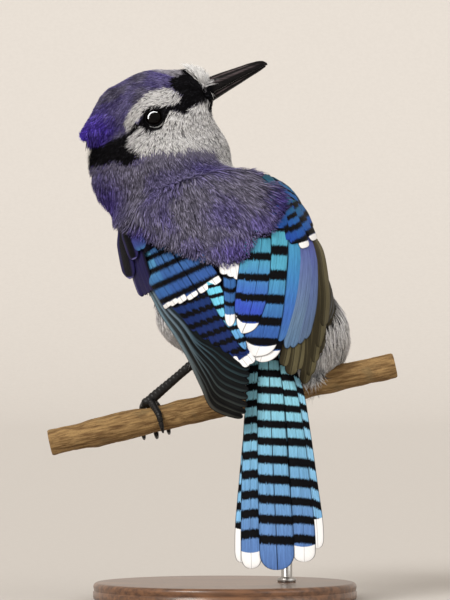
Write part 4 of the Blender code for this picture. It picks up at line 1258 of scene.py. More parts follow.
# left coverts: blue with slanted bars and white ragged tips
cov_a = ramp((0, (86, 150, 186)), (0.4, (70, 124, 176)), (0.68, (56, 100, 164)), (1, (50, 86, 150)))
cov_b = ramp((0, (62, 106, 158)), (0.4, (58, 98, 158)), (0.65, (52, 88, 152)), (1, (46, 78, 142)))
BAR_N = np.array([0.41, 0.91])
COV_TIPS = [(170.6, 307.0), (177.6, 304.8), (185.6, 302.4), (195.6, 298.6), (207.0, 292.0), (216.8, 286.2)]
COV_HALF = (4.4, 4.6, 5.2, 6.2, 6.4, 7.4)
for k, tip in enumerate(COV_TIPS):
    s_ = k / (len(COV_TIPS) - 1)
    tip = np.array(tip, float)
    root = tip - unit(np.array([0.53 + 0.06 * s_, 0.83])) * (57, 62, 64, 62, 58, 54)[k]
    mid = lerp(root, tip, 0.55) + np.array([0.5, -0.5])
    h_ = COV_HALF[k]
    wl.lay(LW, [root, mid, tip], (h_ * 0.9, h_ * 1.04, h_ * 1.04, h_), 1.25 + 0.11 * k, cov_a if k < 2 else cov_b,
           bars=rows([256.8, 269.6, 282.5, 296.0, 309.0, 324.6, 341.0], axis=BAR_N), duty=0.40, edge=0.9, shaft=0.45,
           tip_white=2.9 + 0.35 * ((k * 7) % 3), tip_soft=0.22, tilt=-0.10, round_tip=0.055, full=4.0,
           ragged=1.2, nv=40, sink=2.6, fade=0.5, bow=0.0)
# the white-tipped scapulars showing below the cape
milk = ramp((0, (235, 235, 238)), (1, (238, 238, 240)))
for pts, h_, lay_ in ((((222, 254), (223.5, 264), (225.0, 276.5)), 4.6, 2.55), (((229, 252), (229.5, 264), (230.5, 279)), 4.4, 2.70),
                      (((235, 252), (235.2, 264), (235.6, 281.5)), 4.4, 2.85)):
    wl.lay(LW, pts, (h_, h_, h_, h_ * 0.9), lay_, milk, edge=0.5, shaft=0.10, round_tip=0.16, ragged=0.3, full=2.2, sink=4.2, fade=0.62)


# bend of the wing: dark hanging feathers with pale outlines
def looped(t, a):
    w = np.abs(a)
    w = np.maximum(w, smooth(0.86, 1.0, t))
    pale, mid, ink = srgb(112, 108, 164), srgb(34, 30, 78), srgb(6, 6, 12)
    c = lerp(ink, mid, smooth(0.40, 0.66, w)[..., None])
    return lerp(c, pale, (smooth(0.70, 0.82, w) * (1 - smooth(0.93, 0.99, w)))[..., None])


def violet_dark(t, a):
    c = lerp(srgb(40, 36, 82), srgb(16, 15, 32), smooth(0.1, 0.8, np.abs(a + 0 * t))[..., None])
    return lerp(c, srgb(104, 100, 146), (smooth(0.62, 0.74, a + 0 * t) * (1 - smooth(0.86, 0.94, a + 0 * t)))[..., None])


for pts, half, layer in ((((123.5, 229), (125.6, 244), (129.0, 261), (132.6, 277.2)), (5.4, 6.5, 6.9, 6.4), 1.4),
                         (((127.5, 225), (131, 236.5), (134.8, 247.5), (138.6, 258.6)), (4.6, 5.6, 6.0, 5.4), 2.2)):
    wl.lay(LW, pts, half, layer, looped, edge=0.9, shaft=0.0, round_tip=0.20, arch=0.6, sink=1.2, full=2.2)
for k in range(4):
    a_ = np.array([131.0 + 2.8 * k, 250.0 - 2.2 * k])
    b_ = np.array([143.4 + 3.6 * k, 296.5 - 2.2 * k])
    wl.lay(LW, [a_, lerp(a_, b_, 0.5) + np.array([-0.8, 1.2]), b_], (3.6, 4.2, 3.8), 0.55 + 0.12 * k, violet_dark, edge=0.9,
           shaft=0.8, round_tip=0.12, tilt=-0.10)
bend_blue = ramp((0, (70, 64, 112)), (0.45, (64, 60, 124)), (0.8, (56, 70, 132)), (1, (60, 102, 150)))
for k in range(2):
    wl.lay(LW, [(132.5 + 4 * k, 225 - k), (136 + 4.0 * k, 233 - k), (140 + 4.0 * k, 242 - k), (143.6 + 4.0 * k, 250.5 - 1.5 * k)],
           (3.6, 4.6, 4.8, 4.0), 2.45 + 0.15 * k, bend_blue, edge=0.35, shaft=0.15, round_tip=0.22, ragged=0.8, sink=3.4, fade=0.6)
# lower rim of the left wing, seen from the side
for k in range(6):
    y0 = 18 - 13 * k
    p = B((y0, -98 - 1.0 * min(k, 3)), (y0 - 13, -101), (y0 - 27, -101))
    wl.add(p, (2.4, 3.2, 2.6), -1.2 + 0.12 * k, ramp((0, (70, 82, 110)), (1, (52, 58, 74))), edge=0.6, tilt=0.15)
wing_l = wl.m.make("wing_left_feathers", [VANE])

wr = Vanes(81)
RW = Relief(WING_R, (240, 150, 352, 400), fall=0.30, soft=4)
# right primaries: olive-brown, stacked under the secondaries
olive = ramp((0, (104, 98, 80)), (0.4, (92, 85, 60)), (1, (86, 80, 58)))
olive_d = ramp((0, (62, 57, 46)), (0.5, (50, 45, 30)), (1, (44, 39, 26)))
for k, (pts, half) in enumerate((
        (((309, 229), (319.2, 250), (323.4, 277), (325.0, 303), (323.0, 326)), (2.4, 4.4, 5.4, 5.6, 5.2)),
        (((308, 235), (317, 255), (320.5, 285), (321.5, 316), (318.5, 347)), (3.0, 5.0, 6.0, 6.2, 5.8)),
        (((314, 262), (318.0, 300), (317.5, 334), (314.2, 362)), (5.2, 6.0, 6.0, 5.4)),
        (((309, 270), (313, 310), (313, 350), (309.6, 376)), (5.4, 6.4, 6.2, 5.6)),
        (((303, 275), (307, 315), (309, 352), (305.2, 384.5)), (5.4, 6.8, 7.0, 6.0)),
        (((299, 275), (302, 315), (302, 345), (298.0, 369)), (5.4, 6.8, 7.0, 6.4)),
        (((294, 280), (295, 320), (294.5, 350), (290.5, 375)), (5.4, 6.8, 7.4, 6.8)),
        (((288, 290), (288, 325), (287, 350), (283.5, 366)), (5.0, 6.2, 6.6, 6.0)))):
    wr.lay(RW, pts, half, (-0.05, -0.20, -0.35, -0.50, -0.65, -0.55, -0.30, -0.15)[k], two_tone(olive_d, olive, 0.1), tilt=0.10, edge=1.0, shaft=0.7,
           round_tip=0.085, arch=0.35, nv=40, nu=10, full=2.2)
# plain secondaries: lavender-grey, then blue
lav = ramp((0, (92, 102, 165)), (0.4, (98, 116, 160)), (0.75, (98, 122, 150)), (1, (86, 114, 146)))
lav2 = ramp((0, (86, 92, 165)), (0.5, (90, 108, 154)), (1, (88, 108, 136)))
for k, (pts, half) in enumerate((
        (((308, 234), (312.6, 250), (313.8, 275), (312, 302), (305.3, 339)), (2.8, 4.2, 5.0, 5.4, 4.2)),
        (((305, 234), (309, 252), (310, 275), (307.5, 304), (299.0, 344)), (3.4, 5.0, 5.6, 6.0, 4.6)),
        (((305, 238), (307, 268), (303, 304), (292.0, 348)), (5.0, 6.2, 6.4, 4.8)),
        (((300, 238), (302, 268), (297.5, 304), (286.0, 349)), (5.0, 5.8, 6.0, 4.6)))):
    wr.lay(RW, pts, half, 0.15 + 0.20 * k, lav2 if k < 2 else lav, tilt=0.12, edge=0.45, shaft=0.25,
           round_tip=0.10, arch=0.3, nv=32)
plain = ramp((0, (72, 148, 186)), (0.4, (64, 126, 182)), (0.75, (62, 102, 178)), (1, (66, 108, 165)))
wr.lay(RW, [(293, 236), (293.6, 262), (289.8, 298), (279, 342)], (6.4, 7.2, 7.2, 5.4), 1.00, plain, tilt=0.10, edge=0.85,
       shaft=0.1, nv=32, round_tip=0.10)
# barred tertials, broad and white-tipped
tert1 = ramp((0, (78, 158, 180)), (0.32, (80, 156, 186)), (0.55, (68, 126, 180)), (0.8, (54, 92, 160)), (1, (50, 84, 150)))
tert2 = ramp((0, (72, 148, 172)), (0.3, (76, 146, 180)), (0.55, (64, 110, 178)), (0.78, (54, 76, 180)), (1, (48, 84, 150)))
wr.lay(RW, [(280, 250), (277, 285), (271, 320), (261.0, 361.8)], (8.5, 13.8, 16.8, 16.0), 0.9, tert1,
       bars=rows([299, 322, 344], stop=True), duty=0.52, tip_white=6.0, tip_soft=0.08, edge=0.9, round_tip=0.150, arch=0.4,
       nv=40, nu=12)
wr.lay(RW, [(277, 230), (275, 262), (269.5, 300), (257.6, 356.4)], (9.8, 11.5, 15.3, 16.4), 1.75, tert1,
       bars=rows([226, 249.5, 274.4, 299.0, 321.6, 341.9], axis=(-0.05, 1.0), x0=266, stop=True), duty=0.41, tip_white=4.9,
       tip_soft=0.16, edge=0.9, shaft=0.25, round_tip=0.135, arch=0.45, nu=14, nv=46, ragged=0.8, bow=0.34)
wr.lay(RW, [(261, 233), (258.5, 262), (254, 296), (244.4, 333.4)], (9.0, 11.5, 13.2, 10.4), 2.25, tert2,
       bars=rows([234, 256.2, 277.4, 297.5, 318.4], axis=(-0.03, 1.0), x0=252, stop=True), duty=0.37, tip_white=5.0,
       tip_soft=0.14, edge=0.9, shaft=0.6, round_tip=0.120, arch=0.45, nv=40, nu=12, ragged=0.8, bow=0.30)
wr.lay(RW, [(249, 244), (246.0, 266), (242.5, 296), (239.5, 321)], (5.5, 6.8, 7.2, 6.2), 2.05, tert2,
       bars=rows([257, 276.4, 295.4, 316.0], axis=(0.03, 1.0), x0=244), duty=0.34, edge=0.9, shaft=0.1, round_tip=0.16,
       nv=34, ragged=0.8, tip_white=1.6)
# right coverts: small plain ones over the shoulder, then barred ones, the last two tipped white
small_r = ramp((0, (30, 74, 92)), (0.5, (36, 88, 112)), (1, (42, 98, 132)))
cov_r = ramp((0, (30, 78, 96)), (0.32, (40, 100, 132)), (0.62, (40, 92, 160)), (1, (36, 70, 156)))
RT = [(279.5, 238.5), (286.5, 241.5), (294.0, 244.8), (304.0, 248.8), (313.8, 241.2), (310.0, 229)]
RBARS = ([320, 334, 349], [319, 332, 349, 364.5], [318, 331.5, 340.5, 351, 366], [317.5, 331, 341, 352, 367],
         [320, 333, 349.5, 364.5], [320, 333, 347, 360])
for k, tip in enumerate(RT):
    tip = np.array(tip, float)
    root = np.array([265.0 + 4.3 * k, 176.0 + 3.4 * k])
    mid = lerp(root, tip, 0.55) + np.array([2.2, -2.2]) * (1 - 0.14 * k)
    wr.lay(RW, [root, mid, tip], (4.2, 4.8, 5.4, 5.2 if k < 4 else 3.6), 1.35 - 0.12 * k, cov_r,
           bars=rows(RBARS[k], axis=(0.55, 0.835), stop=True), duty=0.46, edge=0.7, shaft=0.0,
           tip_white=(3.2 if k in (3, 4) else 0.0), tip_soft=0.25, tilt=0.10, round_tip=0.08, ragged=1.2, full=3.4,
           bow=0.0, sink=1.0)
for k in range(4):
    a_ = np.array([263.0 + 4.4 * k, 176.5 + 5.0 * k])
    b_ = a_ + np.array([11.5, 14.5])
    wr.lay(RW, [a_, lerp(a_, b_, 0.5) + np.array([0.6, -0.6]), b_], (2.6, 3.6, 3.8), 1.50 - 0.05 * k, small_r, edge=0.12,
           shaft=0.15, round_tip=0.30, tilt=0.10, ragged=0.8, sink=0.8)


# the part of the right wing that turns away from the viewer
along_bars = (lambda top, along, across, vx, vy: along / 5.6)
for k in range(7):
    d = 99 - 5.5 * k
    wr.add(B((8, d), (-18, d - 1), (-44 - 2 * k, d - 6), (-66 - 1.2 * k, d - 12)), (2.4, 3.0, 3.3, 2.8), -0.5 + 0.12 * k,
           two_tone(olive_d, ramp((0, (86, 104, 140)), (0.5, (88, 92, 100)), (1, (84, 76, 54)))), edge=0.6, shaft=0.5,
           tilt=0.18, nv=24)
for k in range(7):
    d = 81 - 4.6 * k
    end = -13 if k > 1 else -6 - 3 * k
    wr.add(B((24, d), (6, d - 1), (end - 0.5 * k, d - 3)), (2.0, 2.5, 2.5), 0.0 + 0.18 * k, cov_r, bars=along_bars,
           duty=0.38, edge=0.7, shaft=0.0, tip_white=(2.4 if k > 1 else 0.0), tilt=0.14, round_tip=0.08, ragged=0.9)
for k in range(7):
    d = 84 - 5.0 * k
    wr.add(B((32, d), (20, d - 1), (5, d - 2)), (2.0, 2.6, 2.5), 1.3 + 0.12 * k, cov_r, bars=along_bars,
           duty=0.36, edge=0.6, shaft=0.0, tilt=0.14, round_tip=0.2, ragged=0.9)
wing_r = wr.m.make("wing_right_feathers", [VANE])



# tail: the upper face is toward the viewer
TAIL = tree_of(*node_tris(("tail",)))
TAIL_N = unit(np.array([0.0, -0.977, 0.21]))


class TailPlane(Relief):
    """The tail's upper face, carried up under the wing tips."""

    def depth(self, x, y):
        lo = 392.0
        d = super().depth(x, np.maximum(y, lo))
        return d - np.minimum(y - lo, 0) * 0.095


tf = Vanes(16)
TP = TailPlane(TAIL, (222, 380, 340, 586), fall=0.15, soft=4)
tail_l = ramp((0, (140, 202, 218)), (0.3, (128, 188, 210)), (0.6, (108, 158, 200)), (0.85, (92, 128, 182)), (1, (82, 114, 172)))
tail_d = ramp((0, (112, 172, 196)), (0.4, (104, 152, 186)), (0.75, (92, 126, 168)), (1, (74, 100, 148)))
tail_o = ramp((0, (146, 204, 226)), (0.5, (130, 184, 218)), (1, (116, 166, 212)))
FEATHERS = (
    # course in the picture, half widths, layer, white tip, colours, bars, slope of the bars and where read
    # hidden below
    (((266, 352), (256, 430), (247, 500), (243, 556)), (4, 6, 7, 7), -1.9, 14.0, tail_d, None, 0, 0),
    (((284, 352), (296, 430), (308, 500), (315, 540)), (4, 6, 7, 7), -1.9, 9.0, tail_d, None, 0, 0),
    (((268, 352), (260, 440), (254, 510), (252, 556)), (5, 7, 8, 8), -1.6, 6.0, tail_d, None, 0, 0),
    (((282, 352), (290, 440), (298, 510), (302, 550)), (5, 7, 8, 8), -1.6, 6.0, tail_d, None, 0, 0),
    (((270, 352), (264, 440), (262, 520), (262, 556)), (6, 8, 9, 9), -1.3, 0.0, tail_d, None, 0, 0),
    (((280, 352), (284, 440), (290, 520), (293, 552)), (6, 8, 9, 9), -1.3, 0.0, tail_d, None, 0, 0),
    # seen
    (((262, 352), (254.5, 390), (249.5, 430), (245, 480), (241.0, 525), (240.2, 562.5)), (4, 6, 6.4, 6.6, 6.4, 6.2), -0.85,
     15.4, tail_o, [380, 398, 416, 433.5, 451, 469, 488.5, 506.5, 527], 0.0, 240),
    (((286, 352), (298, 390), (304.5, 430), (311, 480), (316.6, 520), (318.2, 548.5)), (4, 6, 6.4, 6.8, 6.8, 6.8), -0.85,
     13.6, tail_o, [382, 397.7, 413, 429, 446, 467, 486, 505, 522], -0.40, 316),
    (((255, 352), (254.2, 390), (251.8, 430), (250.5, 480), (250.6, 530), (251.5, 568.8)), (8.0, 8.4, 8.8, 9.4, 10.0, 10.6), -0.4,
     7.4, tail_l, [370, 388, 404.3, 420.8, 437.8, 455.8, 475, 495.6, 514.2, 534.6], 0.10, 250),
    (((282, 352), (290, 390), (295.5, 430), (300, 480), (303.5, 530), (304.4, 562.0)), (5, 7.5, 8.8, 10.0, 11.6, 12.2), -0.4,
     7.0, tail_l, [379.5, 394.8, 410.4, 426.3, 443, 463.5, 484, 502.6, 520.2, 539.6], -0.08, 302),
    (((268, 350), (270.0, 390), (271.6, 430), (273.6, 480), (276.0, 530), (277.6, 570.0)), (9, 13.4, 14.6, 15.8, 17.2, 17.6), 0.15,
     0.0, tail_l, [356.5, 373.8, 390.4, 407.4, 424.4, 441.6, 459.4, 479.6, 499.6, 519.6, 540], -0.05, 275),
)
for k, (pts, half, layer, white, col, at, lean, x0_) in enumerate(FEATHERS):
    last = k == len(FEATHERS) - 1
    if at is None:
        at = [375 + 17.6 * q for q in range(10)]
    tf.lay(TP, pts, half, layer, col, bars=rows(at, axis=(lean, 1.0), x0=x0_, stop=True, wave=(0.0 if last else 0.8)),
           duty=0.46, edge=0.8, shaft=(1.0 if last else 0.35), round_tip=(0.085 if last else 0.060), arch=0.40,
           tip_white=white, tip_soft=0.10, nu=11, nv=56, ragged=0.75, thick=0.28, sink=0.0, full=2.3)
tail_f = tf.m.make("tail_feathers", [VANE])


# ------------------------------------------------------------- growing the coat
CAPE = [(60, 190), (92, 198), (101, 212), (111, 224), (119, 229), (128, 231), (135, 237), (142, 240.5), (149, 243), (162, 248.5), (174, 254),
        (203, 265), (224, 270), (243, 265), (251.5, 253), (256, 242), (267, 238.5), (273.6, 233), (279, 223),
        (284.7, 212), (286, 202), (281, 191), (272, 182), (262, 173), (258, 150)]
CAPE_POLY = CAPE + [(258, -50), (60, -50)]


def on_wing(p, reach=1.6):
    out = np.zeros(len(p), bool)
    for i in range(len(p)):
        v = Vector(p[i])
        for tree in (WING_L, WING_R):
            hit = tree.find_nearest(v, 12.0)
            if hit[0] is not None and (hit[0] - v).length < reach:
                out[i] = True
                break
    return out


EYES = {}
for side, name in ((1, "eye_right"), (-1, "eye_left")):
    lo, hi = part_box(name)
    EYES[side] = (np.array(lo) + np.array(hi)) / 2 / MM


def body_keep(p):
    """Where contour feathers of the body and cape are rooted."""
    vx, vy = to_view(p)
    xb, yb, zb = body_local(p)
    near = p[:, 1] < 30
    wing = on_wing(p)
    cape = (inside(vx, vy, CAPE_POLY) < -1.0) & near
    shoulder = (yb > 27) & ~((p[:, 1] < 42) & (vx > 262) & (vy > 168)) & ~((p[:, 1] < 16) & (vx < 150) & (vy > 226))
    ok = ~wing | cape | shoulder
    # the rump is covered by the tail, the bend of the wing by its own feathers
    ok &= ~((vx > 234) & (vx < 302) & (vy > 338) & (vy < 394) & (p[:, 1] < -20))
    ok &= ~((vx < 136) & (vy > 233) & (vy < 296) & (p[:, 1] < 19))
    ok &= ~((vx > 316) & (vy < 294) & (p[:, 1] < 42))
    ok &= ~((vx > 300) & (vy < 290) & (p[:, 1] < 12) & ~cape)
    return ok


def coat_keep(p):
    f, s, u = head_local(p)
    ok = np.ones(len(p), bool)
    # clear of the eyes
    for side, at in EYES.items():
        d = p - at
        ok &= (d ** 2).sum(1) > (EYE_R + 0.75) ** 2
        ok &= ~((s * side > 0) & (np.hypot(f / 1.05, u) < EYE_R + 0.15 + 1.05 * (u < -1.0)) & (np.abs(f) < 8))
    # the flat face behind the bill
    ok &= ~((f > 29.2) & (np.abs(s) < 3.7) & (u < 7.0) & (u > -2.4))
    return ok


def vary(n, spread):
    return np.clip(1 + RNG.normal(0, spread, n), 0.35, 1.9)[:, None]


def bare_of_wing(p):
    """True where the carrier is not buried under the wings."""
    out = np.ones(len(p), bool)
    for i in range(len(p)):
        co = CTREE.find_nearest(Vector(p[i]))[0]
        out[i] = (co - Vector(p[i])).length < 1.3
    return out


head_roots = scatter(FV, FF, 9.0, lambda p: coat_keep(p) & (p[:, 2] > 199) & bare_of_wing(p), 0.40)
def raised(p):
    """True where the wings lift the carrier off the flesh."""
    out = np.zeros(len(p), bool)
    for i in range(len(p)):
        if p[i, 2] < 226:
            v = Vector(p[i])
            out[i] = (FTREE.find_nearest(v)[0] - v).length > 0.7
    return out


body_roots = scatter(CV, CF, 2.9, lambda p: ((p[:, 2] <= 200) | raised(p)) & body_keep(p), 0.66)

coat = Coat()
down = Coat()


def plant(target, roots, tree, vn, faces, table):
    q, nr = surface(tree, vn, faces, roots)
    info0 = plumage(q)
    flow = lie(q, nr, info0)
    kind0 = info0[1]
    for kind, (length, width, thick, rise, sink, yaw, stand) in table.items():
        sel = kind0 == kind
        if not sel.any():
            continue
        r, d = q[sel], flow[sel]
        n = len(r)
        ln = length * np.clip(RNG.normal(1, 0.14, n), 0.6, 1.5)
        wd = width * np.clip(RNG.normal(1, 0.18, n), 0.5, 1.6)
        if kind == FACE:
            ln = ln * np.where(info0[0][sel].mean(1) > 0.3, 1.4, 1.0)
        if kind == MANTLE and tree is CTREE:
            # the cape ends where the wing feathers show
            keep = np.ones(n, bool)
            px_, py_ = to_view(r)
            near = (r[:, 1] < 36) | ((px_ < 122) & (py_ > 196) & (r[:, 1] < 52))
            for shrink in (1.0, 0.62, 0.62):
                tx, ty = to_view(r + d * ln[:, None])
                over = near & (inside(tx, ty, CAPE_POLY) > RNG.uniform(-1.5, 1.5, n)) & ((tx > 116) | (ty > 200))
                ln = np.where(over & (shrink < 1), ln * shrink, ln)
            tx, ty = to_view(r + d * ln[:, None])
            keep = ~(near & (inside(tx, ty, CAPE_POLY) > 2.0) & ((tx > 116) | (ty > 200)))
            r, d, ln, wd = r[keep], d[keep], ln[keep], wd[keep]
            sel = np.flatnonzero(sel)[keep]
            n = len(r)
        if kind in (UNDER, FLANK) and tree is CTREE:
            # none of the body's locks comes up over the wings
            keep = ~on_wing(r + d * (ln * 0.9)[:, None], 1.3) & ~on_wing(r + d * (ln * 0.5)[:, None], 0.9)
            r, d, ln, wd = r[keep], d[keep], ln[keep], wd[keep]
            sel = np.flatnonzero(sel)[keep]
            n = len(r)
        if tree is CTREE:
            px_, py_ = to_view(r)
            # short and close where the left flank shows past the folded wing
            if kind in (FLANK, UNDER):
                ln = ln * np.where((px_ < 192) & (py_ > 286) & (py_ < 368) & (r[:, 1] < 44), 0.62, 1.0)
            # the edge of the right wing stays clean
            keep = np.ones(n, bool)
            for part in (0.3, 0.65, 1.0):
                tx, ty = to_view(r + d * (ln * part)[:, None])
                keep &= ~((tx > 317) & (ty > 225) & ((ty < 292) | ((tx < 333) & (ty < 323))) & (r[:, 1] < 60))
            r, d, ln, wd = r[keep], d[keep], ln[keep], wd[keep]
            sel = (np.flatnonzero(sel) if sel.dtype == bool else sel)[keep]
            n = len(r)
        # colour is taken where the lock shows
        shown = r + d * (ln * np.clip(RNG.normal(0.56, 0.17, n), 0.1, 0.95))[:, None]
        qs, _ = surface(tree, vn, faces, shown)
        info = plumage(qs)
        info_r = tuple(x[sel] if isinstance(x, np.ndarray) else tuple(y[sel] for y in x) for x in info0)
        col = info[0].copy()
        pale = col.mean(1) > 0.30
        dark = col.mean(1) < 0.02
        k = RNG.random(n)
        gain = np.ones(n)
        if kind == MANTLE:
            gain = np.where(k < 0.30, 1.50, np.where(k < 0.60, 0.46, 0.90))
        elif kind in (HEAD, CREST):
            gain = np.where(k < 0.25, 1.40, np.where(k < 0.5, 0.55, 0.92))
        elif kind == FLANK:
            gain = np.where(k < 0.13, np.where(to_view(r)[0] < 192, 0.60, 0.07), np.where(k < 0.30, 0.75, 1.30))
        elif kind == UNDER:
            gain = np.where(k < 0.15, 0.70, 1.08)
        elif kind in (CHEEK, FACE):
            gain = np.where(pale & (k < 0.14), 0.16, np.where(pale & (k < 0.30), 0.72, 1.12))
        elif kind == NASAL:
            col[:] = INK["white"]
            gain = np.where(k < 0.07, 0.05, 1.0)
        col = np.clip(col * gain[:, None] * vary(n, 0.10) * 1.22, 0.0012, 0.96)
        col = np.where((dark & (k > 0.84))[:, None], col + np.array([0.020, 0.021, 0.026]) * RNG.random((n, 1)), col)
        # painted shade along each lock: darkened to 0.42 at the root, where the locks lie under one another, and a
        # little lighter at the tip
        tipc = np.clip(col * 1.16, 0, 0.97)
        rootc = col * np.where(pale, 0.42, 0.42)[:, None]
        shape = "hair" if kind in (FLANK, NASAL) else "lock"
        lift = np.full(n, float(rise))
        rx, ry = to_view(r)
        if kind in (NAPE, MANTLE):
            # fuller down the back of the neck
            lift = lift + 0.9 * smooth(122, 94, rx) * smooth(140, 150, ry) * (1 - smooth(172, 238, ry)) * (r[:, 1] < 62)
        if kind in (NAPE, HEAD, CREST, MANTLE):
            # and under the crest, where the nape feathers stand out to meet it
            lift = lift + 3.2 * np.exp(-((rx - 93) / 7.5) ** 2 - ((ry - 146) / 5.5) ** 2)
        if kind == MANTLE and tree is CTREE:
            edge = inside(rx, ry, CAPE_POLY)
            lift = lift + 2.7 * smooth(-36, -5, edge) * (ry > 180) * (r[:, 1] < 30) * smooth(110, 128, rx)
        if kind in (FLANK, UNDER):
            # the flank stands out past the folded wing on the left
            rim = np.interp(ry, [288, 297, 308, 318, 329, 339, 350, 361], [147, 149, 155, 162.5, 170, 176.5, 184, 190])
            lift = lift + (2.0 * (rx < rim + 0.4) * smooth(286, 296, ry) * (1 - smooth(300, 317, ry))
                           + 1.4 * (rx < rim + 0.4) * smooth(338, 347, ry) * (1 - smooth(357, 365, ry))) * (r[:, 1] < 44)
        # the outline of the right flank is even, down to the loose ends over the branch
        upright = stand * (1 - 0.85 * smooth(322, 336, rx) * (1 - smooth(352, 374, ry)) * (ry > 285)) if tree is CTREE else stand
        target.grow(r, ln, wd, thick, lift * RNG.uniform(0.5, 1.5, n), sink, rootc, tipc, dirs=d,
                    tree=tree, vn=vn, faces=faces, yaw=yaw, info=info_r,
                    bend=RNG.normal(0, 0.10, (n, 1)), stand=upright, shape=shape)


#           length width thick rise sink yaw  stand
plant(coat, head_roots, FTREE, FN, FF, {
    HEAD: (4.2, 0.52, 0.10, 0.55, 0.9, 0.13, 0.02),
    CREST: (5.6, 0.72, 0.11, 0.7, 0.9, 0.16, 0.04),
    FACE: (3.1, 0.42, 0.09, 0.40, 0.7, 0.15, 0.0),
    CHEEK: (6.0, 0.44, 0.09, 0.6, 0.8, 0.10, 0.02),
    NAPE: (4.4, 0.70, 0.11, 0.6, 0.9, 0.16, 0.02),
    MANTLE: (7.5, 0.60, 0.12, 0.7, 1.0, 0.075, 0.008),
    UNDER: (5.5, 0.85, 0.12, 0.7, 1.0, 0.18, 0.02),
    FLANK: (6.0, 0.8, 0.12, 0.8, 1.0, 0.2, 0.02),
    NASAL: (5.6, 0.46, 0.10, 1.2, 0.7, 0.42, 0.34)})
plant(coat, body_roots, CTREE, CN, CF, {
    HEAD: (4.0, 0.8, 0.12, 0.6, 0.9, 0.15, 0.02),
    CREST: (5.6, 0.8, 0.12, 0.7, 0.9, 0.16, 0.03),
    FACE: (3.0, 0.6, 0.12, 0.5, 0.9, 0.16, 0.0),
    CHEEK: (4.5, 0.8, 0.12, 0.6, 0.9, 0.16, 0.02),
    NAPE: (5.5, 0.95, 0.13, 0.7, 1.0, 0.16, 0.02),
    MANTLE: (9.5, 0.64, 0.12, 0.8, 1.2, 0.065, 0.003),
    UNDER: (8.5, 1.15, 0.15, 0.9, 1.4, 0.18, 0.02),
    FLANK: (12.0, 0.72, 0.13, 1.2, 1.4, 0.20, 0.05),
    NASAL: (4.0, 0.6, 0.1, 0.7, 0.7, 0.3, 0.05)})

flank_roots = scatter(CV, CF, 2.6, lambda p: (lambda vx, vy: (vx < 184) & (vy > 296) & (vy < 362) & (p[:, 1] < 44))(*to_view(p))
                      & ~on_wing(p, 1.6), 0.60)
plant(coat, flank_roots, CTREE, CN, CF, {
    UNDER: (9.0, 0.55, 0.12, 1.0, 1.2, 0.12, 0.0),
    FLANK: (9.0, 0.55, 0.12, 1.0, 1.2, 0.12, 0.0)})

# long loose feathers of the flanks and vent, hanging over the branch
def fluff_keep(p):
    vx, vy = to_view(p)
    return (p[:, 1] < 26) & (vx > 296) & (vy > 318) & (vy < 392) & ~on_wing(p, 2.2)


fluff_roots = scatter(CV, CF, 2.4, fluff_keep, 0.62)
plant(coat, fluff_roots, CTREE, CN, CF, {
    UNDER: (12.0, 0.50, 0.11, 1.5, 1.2, 0.11, 0.26),
    FLANK: (12.0, 0.50, 0.11, 1.5, 1.2, 0.11, 0.26)})


# stiff feathers over the nostrils
def bristles(target, n=430):
    f_ = RNG.uniform(25.8, 29.3, n)
    ang = RNG.uniform(-2.25, 2.25, n)
    base = head_point(f_, np.sin(ang) * 5.4, 2.6 + np.cos(ang) * 6.0)
    q, nr = surface(FTREE, FN, FF, base)
    fl, sl, ul = head_local(q)
    top = smooth(3.0, 8.5, ul)[:, None]
    low = np.abs(ang) > 1.30
    d = unit(HF * (1.0 - 0.75 * top) + HU * 0.65 * top + nr * np.where(low, 0.06, RNG.uniform(0.10, 0.55, n))[:, None]
             + RNG.normal(0, 1, (n, 3)) * np.where(low, 0.07, 0.16)[:, None])
    ln = RNG.uniform(4.6, 7.6, n) * (1 - 0.35 * top[:, 0]) * np.where(low, 0.52, 1.0)
    k = RNG.random(n)
    col = np.where(((k < 0.05) | low)[:, None], srgb(20, 20, 24), srgb(240, 240, 242)) * RNG.uniform(0.75, 1.0, n)[:, None]
    ts = np.array([0.0, 0.34, 0.70, 1.0])
    droop = np.multiply.outer(ts ** 2, -0.22 * HU) * ln[:, None, None]
    pts = q[:, None] - (nr * 0.6)[:, None] + d[:, None] * (ln[:, None] * ts)[..., None] + droop
    # painted shade: the roots are darkened to 0.7 of the colour
    target.parts.append(dict(p=pts, n=np.repeat(unit(nr)[:, None], 4, 1), w=RNG.uniform(0.26, 0.40, n), t=0.09, c0=col * 0.7,
                             c1=col, root=q, taper=(0.9, 1.0, 0.5)))


def straight(target, q, nr, d, ln, wide, col, lift, root_dark=0.7):
    """Locks that leave the surface without following it."""
    ts = np.array([0.0, 0.34, 0.70, 1.0])
    pts = (q[:, None] + nr[:, None] * (lift[:, None] * (ts ** 0.6) - 0.5 * (1 - ts) ** 2)[..., None]
           + d[:, None] * (ln[:, None] * ts)[..., None])
    # root_dark darkens the root end of each lock as painted shade
    target.parts.append(dict(p=pts, n=np.repeat(unit(nr)[:, None], 4, 1), w=wide, t=0.09, c0=col * root_dark, c1=col, root=q,
                             taper=(0.8, 1.0, 0.6)))


# the pale crescent of tiny feathers below the eye
def crescent(target, side, n=280):
    a = np.radians(RNG.uniform(224, 312, n))
    swell = np.sin(np.pi * (np.degrees(a) - 224) / 88)
    rad = 5.65 + RNG.uniform(-0.62, 0.62, n) * swell ** 0.8
    base = head_point(np.cos(a) * rad * 1.05, np.full(n, 14.5 * side), np.sin(a) * rad)
    q, nr = surface(FTREE, FN, FF, base)
    tang = np.multiply.outer(-np.sin(a), HF) + np.multiply.outer(np.cos(a), HU)
    out = np.multiply.outer(np.cos(a), HF) + np.multiply.outer(np.sin(a), HU)
    d = unit(tang * np.sign(np.cos(a))[:, None] * 0.8 + out * 0.45 + RNG.normal(0, 0.12, (n, 3)))
    d = unit(d - nr * (d * nr).sum(1, keepdims=True))
    col = np.tile(srgb(240, 240, 242), (n, 1)) * RNG.uniform(0.8, 1.0, n)[:, None]
    straight(target, q, nr, d, RNG.uniform(0.9, 1.5, n), RNG.uniform(0.22, 0.34, n), col, np.full(n, 0.62), 0.9)


